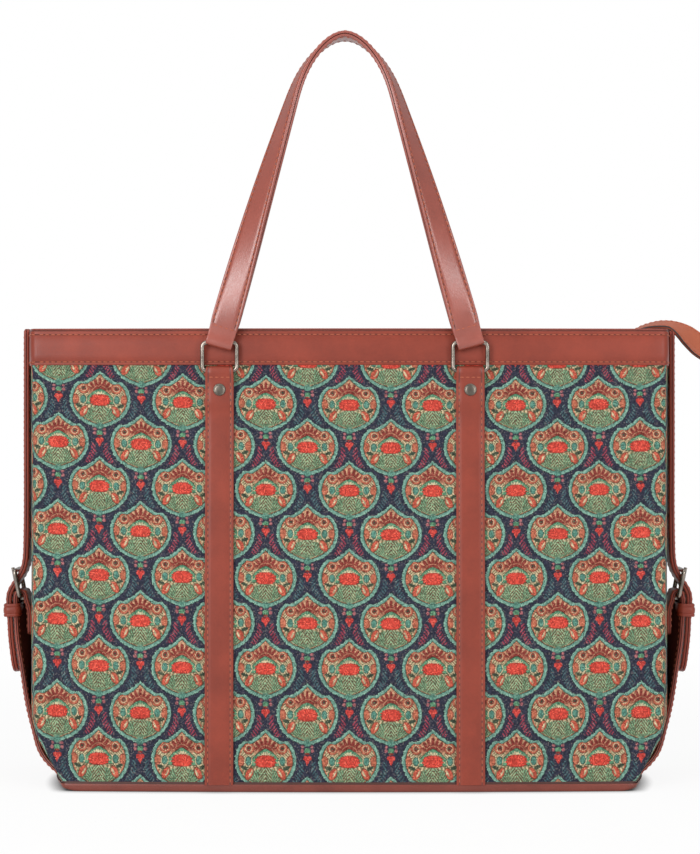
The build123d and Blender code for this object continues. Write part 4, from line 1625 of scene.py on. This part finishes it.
def make_stage():
    corners = [(x * floor_half, y * floor_half, 0) for x, y in ((-1, -1), (1, -1), (1, 1), (-1, 1))]
    mesh = bpy.data.meshes.new("floor")
    mesh.from_pydata(corners, [], [(0, 1, 2, 3)])
    floor = bpy.data.objects.new("floor", mesh)
    floor.data.materials.append(floor_white())
    bpy.context.scene.collection.objects.link(floor)


def make_world():
    world = bpy.data.worlds.new("studio")
    bpy.context.scene.world = world
    world.use_nodes = True
    tree = world.node_tree
    background = tree.nodes["Background"]
    camera, glossy, through = rays(tree)
    seen = camera.most(through).most(glossy * glossy_share)
    strength = seen * (1 - ambient) + ambient
    background.inputs["Color"].default_value = (1, 1, 1, 1)
    tree.links.new(strength.socket, background.inputs["Strength"])


def area_light(name, place, target, size, watts):
    data = bpy.data.lights.new(name, "AREA")
    data.shape = "RECTANGLE"
    data.size, data.size_y = size
    data.energy = watts
    lamp = bpy.data.objects.new(name, data)
    bpy.context.scene.collection.objects.link(lamp)
    lamp.location = place
    lamp.rotation_euler = (Vector(target) - Vector(place)).to_track_quat("-Z", "Y").to_euler()


def make_lights():
    middle = (0.0, 0.0, 0.2)
    area_light("key", (-1.5, -2.1, 1.0), middle, (1.1, 1.6), 44)
    area_light("fill", (1.7, -2.1, 1.0), middle, (0.8, 1.5), 24)
    area_light("top", (0.0, -0.2, 1.9), middle, (1.6, 1.0), 11)


def make_camera():
    data = bpy.data.cameras.new("camera")
    data.lens = photo_focal / photo_height * data.sensor_width
    camera = bpy.data.objects.new("camera", data)
    camera.location = (camera_across * MM, camera_back * MM, camera_level * MM)
    camera.rotation_euler = (math.radians(90), 0, 0)
    bpy.context.scene.collection.objects.link(camera)
    bpy.context.scene.camera = camera


make_camera()
make_world()
make_lights()
make_stage()
make_canvas()
make_top_band()
make_base()
for end, to_back in (("front", False), ("back", True)):
    for hand, x_place in zip(("left", "right"), reversed(strap_places) if to_back else strap_places):
        make_panel_strap(end + "_strap_" + hand, x_place, to_back)
for end, to_back in (("front", False), ("back", True)):
    make_rivets(end + "_rivets", to_back)
make_handle("front_handle", ring_angle_up(), 0.0, "front_handle_body", False)
make_handle("back_handle", ring_angle_down(), 180 - handle_lean_off, "back_handle_body", True)
make_sides()
make_zip()
make_zip_tab()
finish_cad_nodes()

bpy.context.scene.view_settings.view_transform = "Standard"
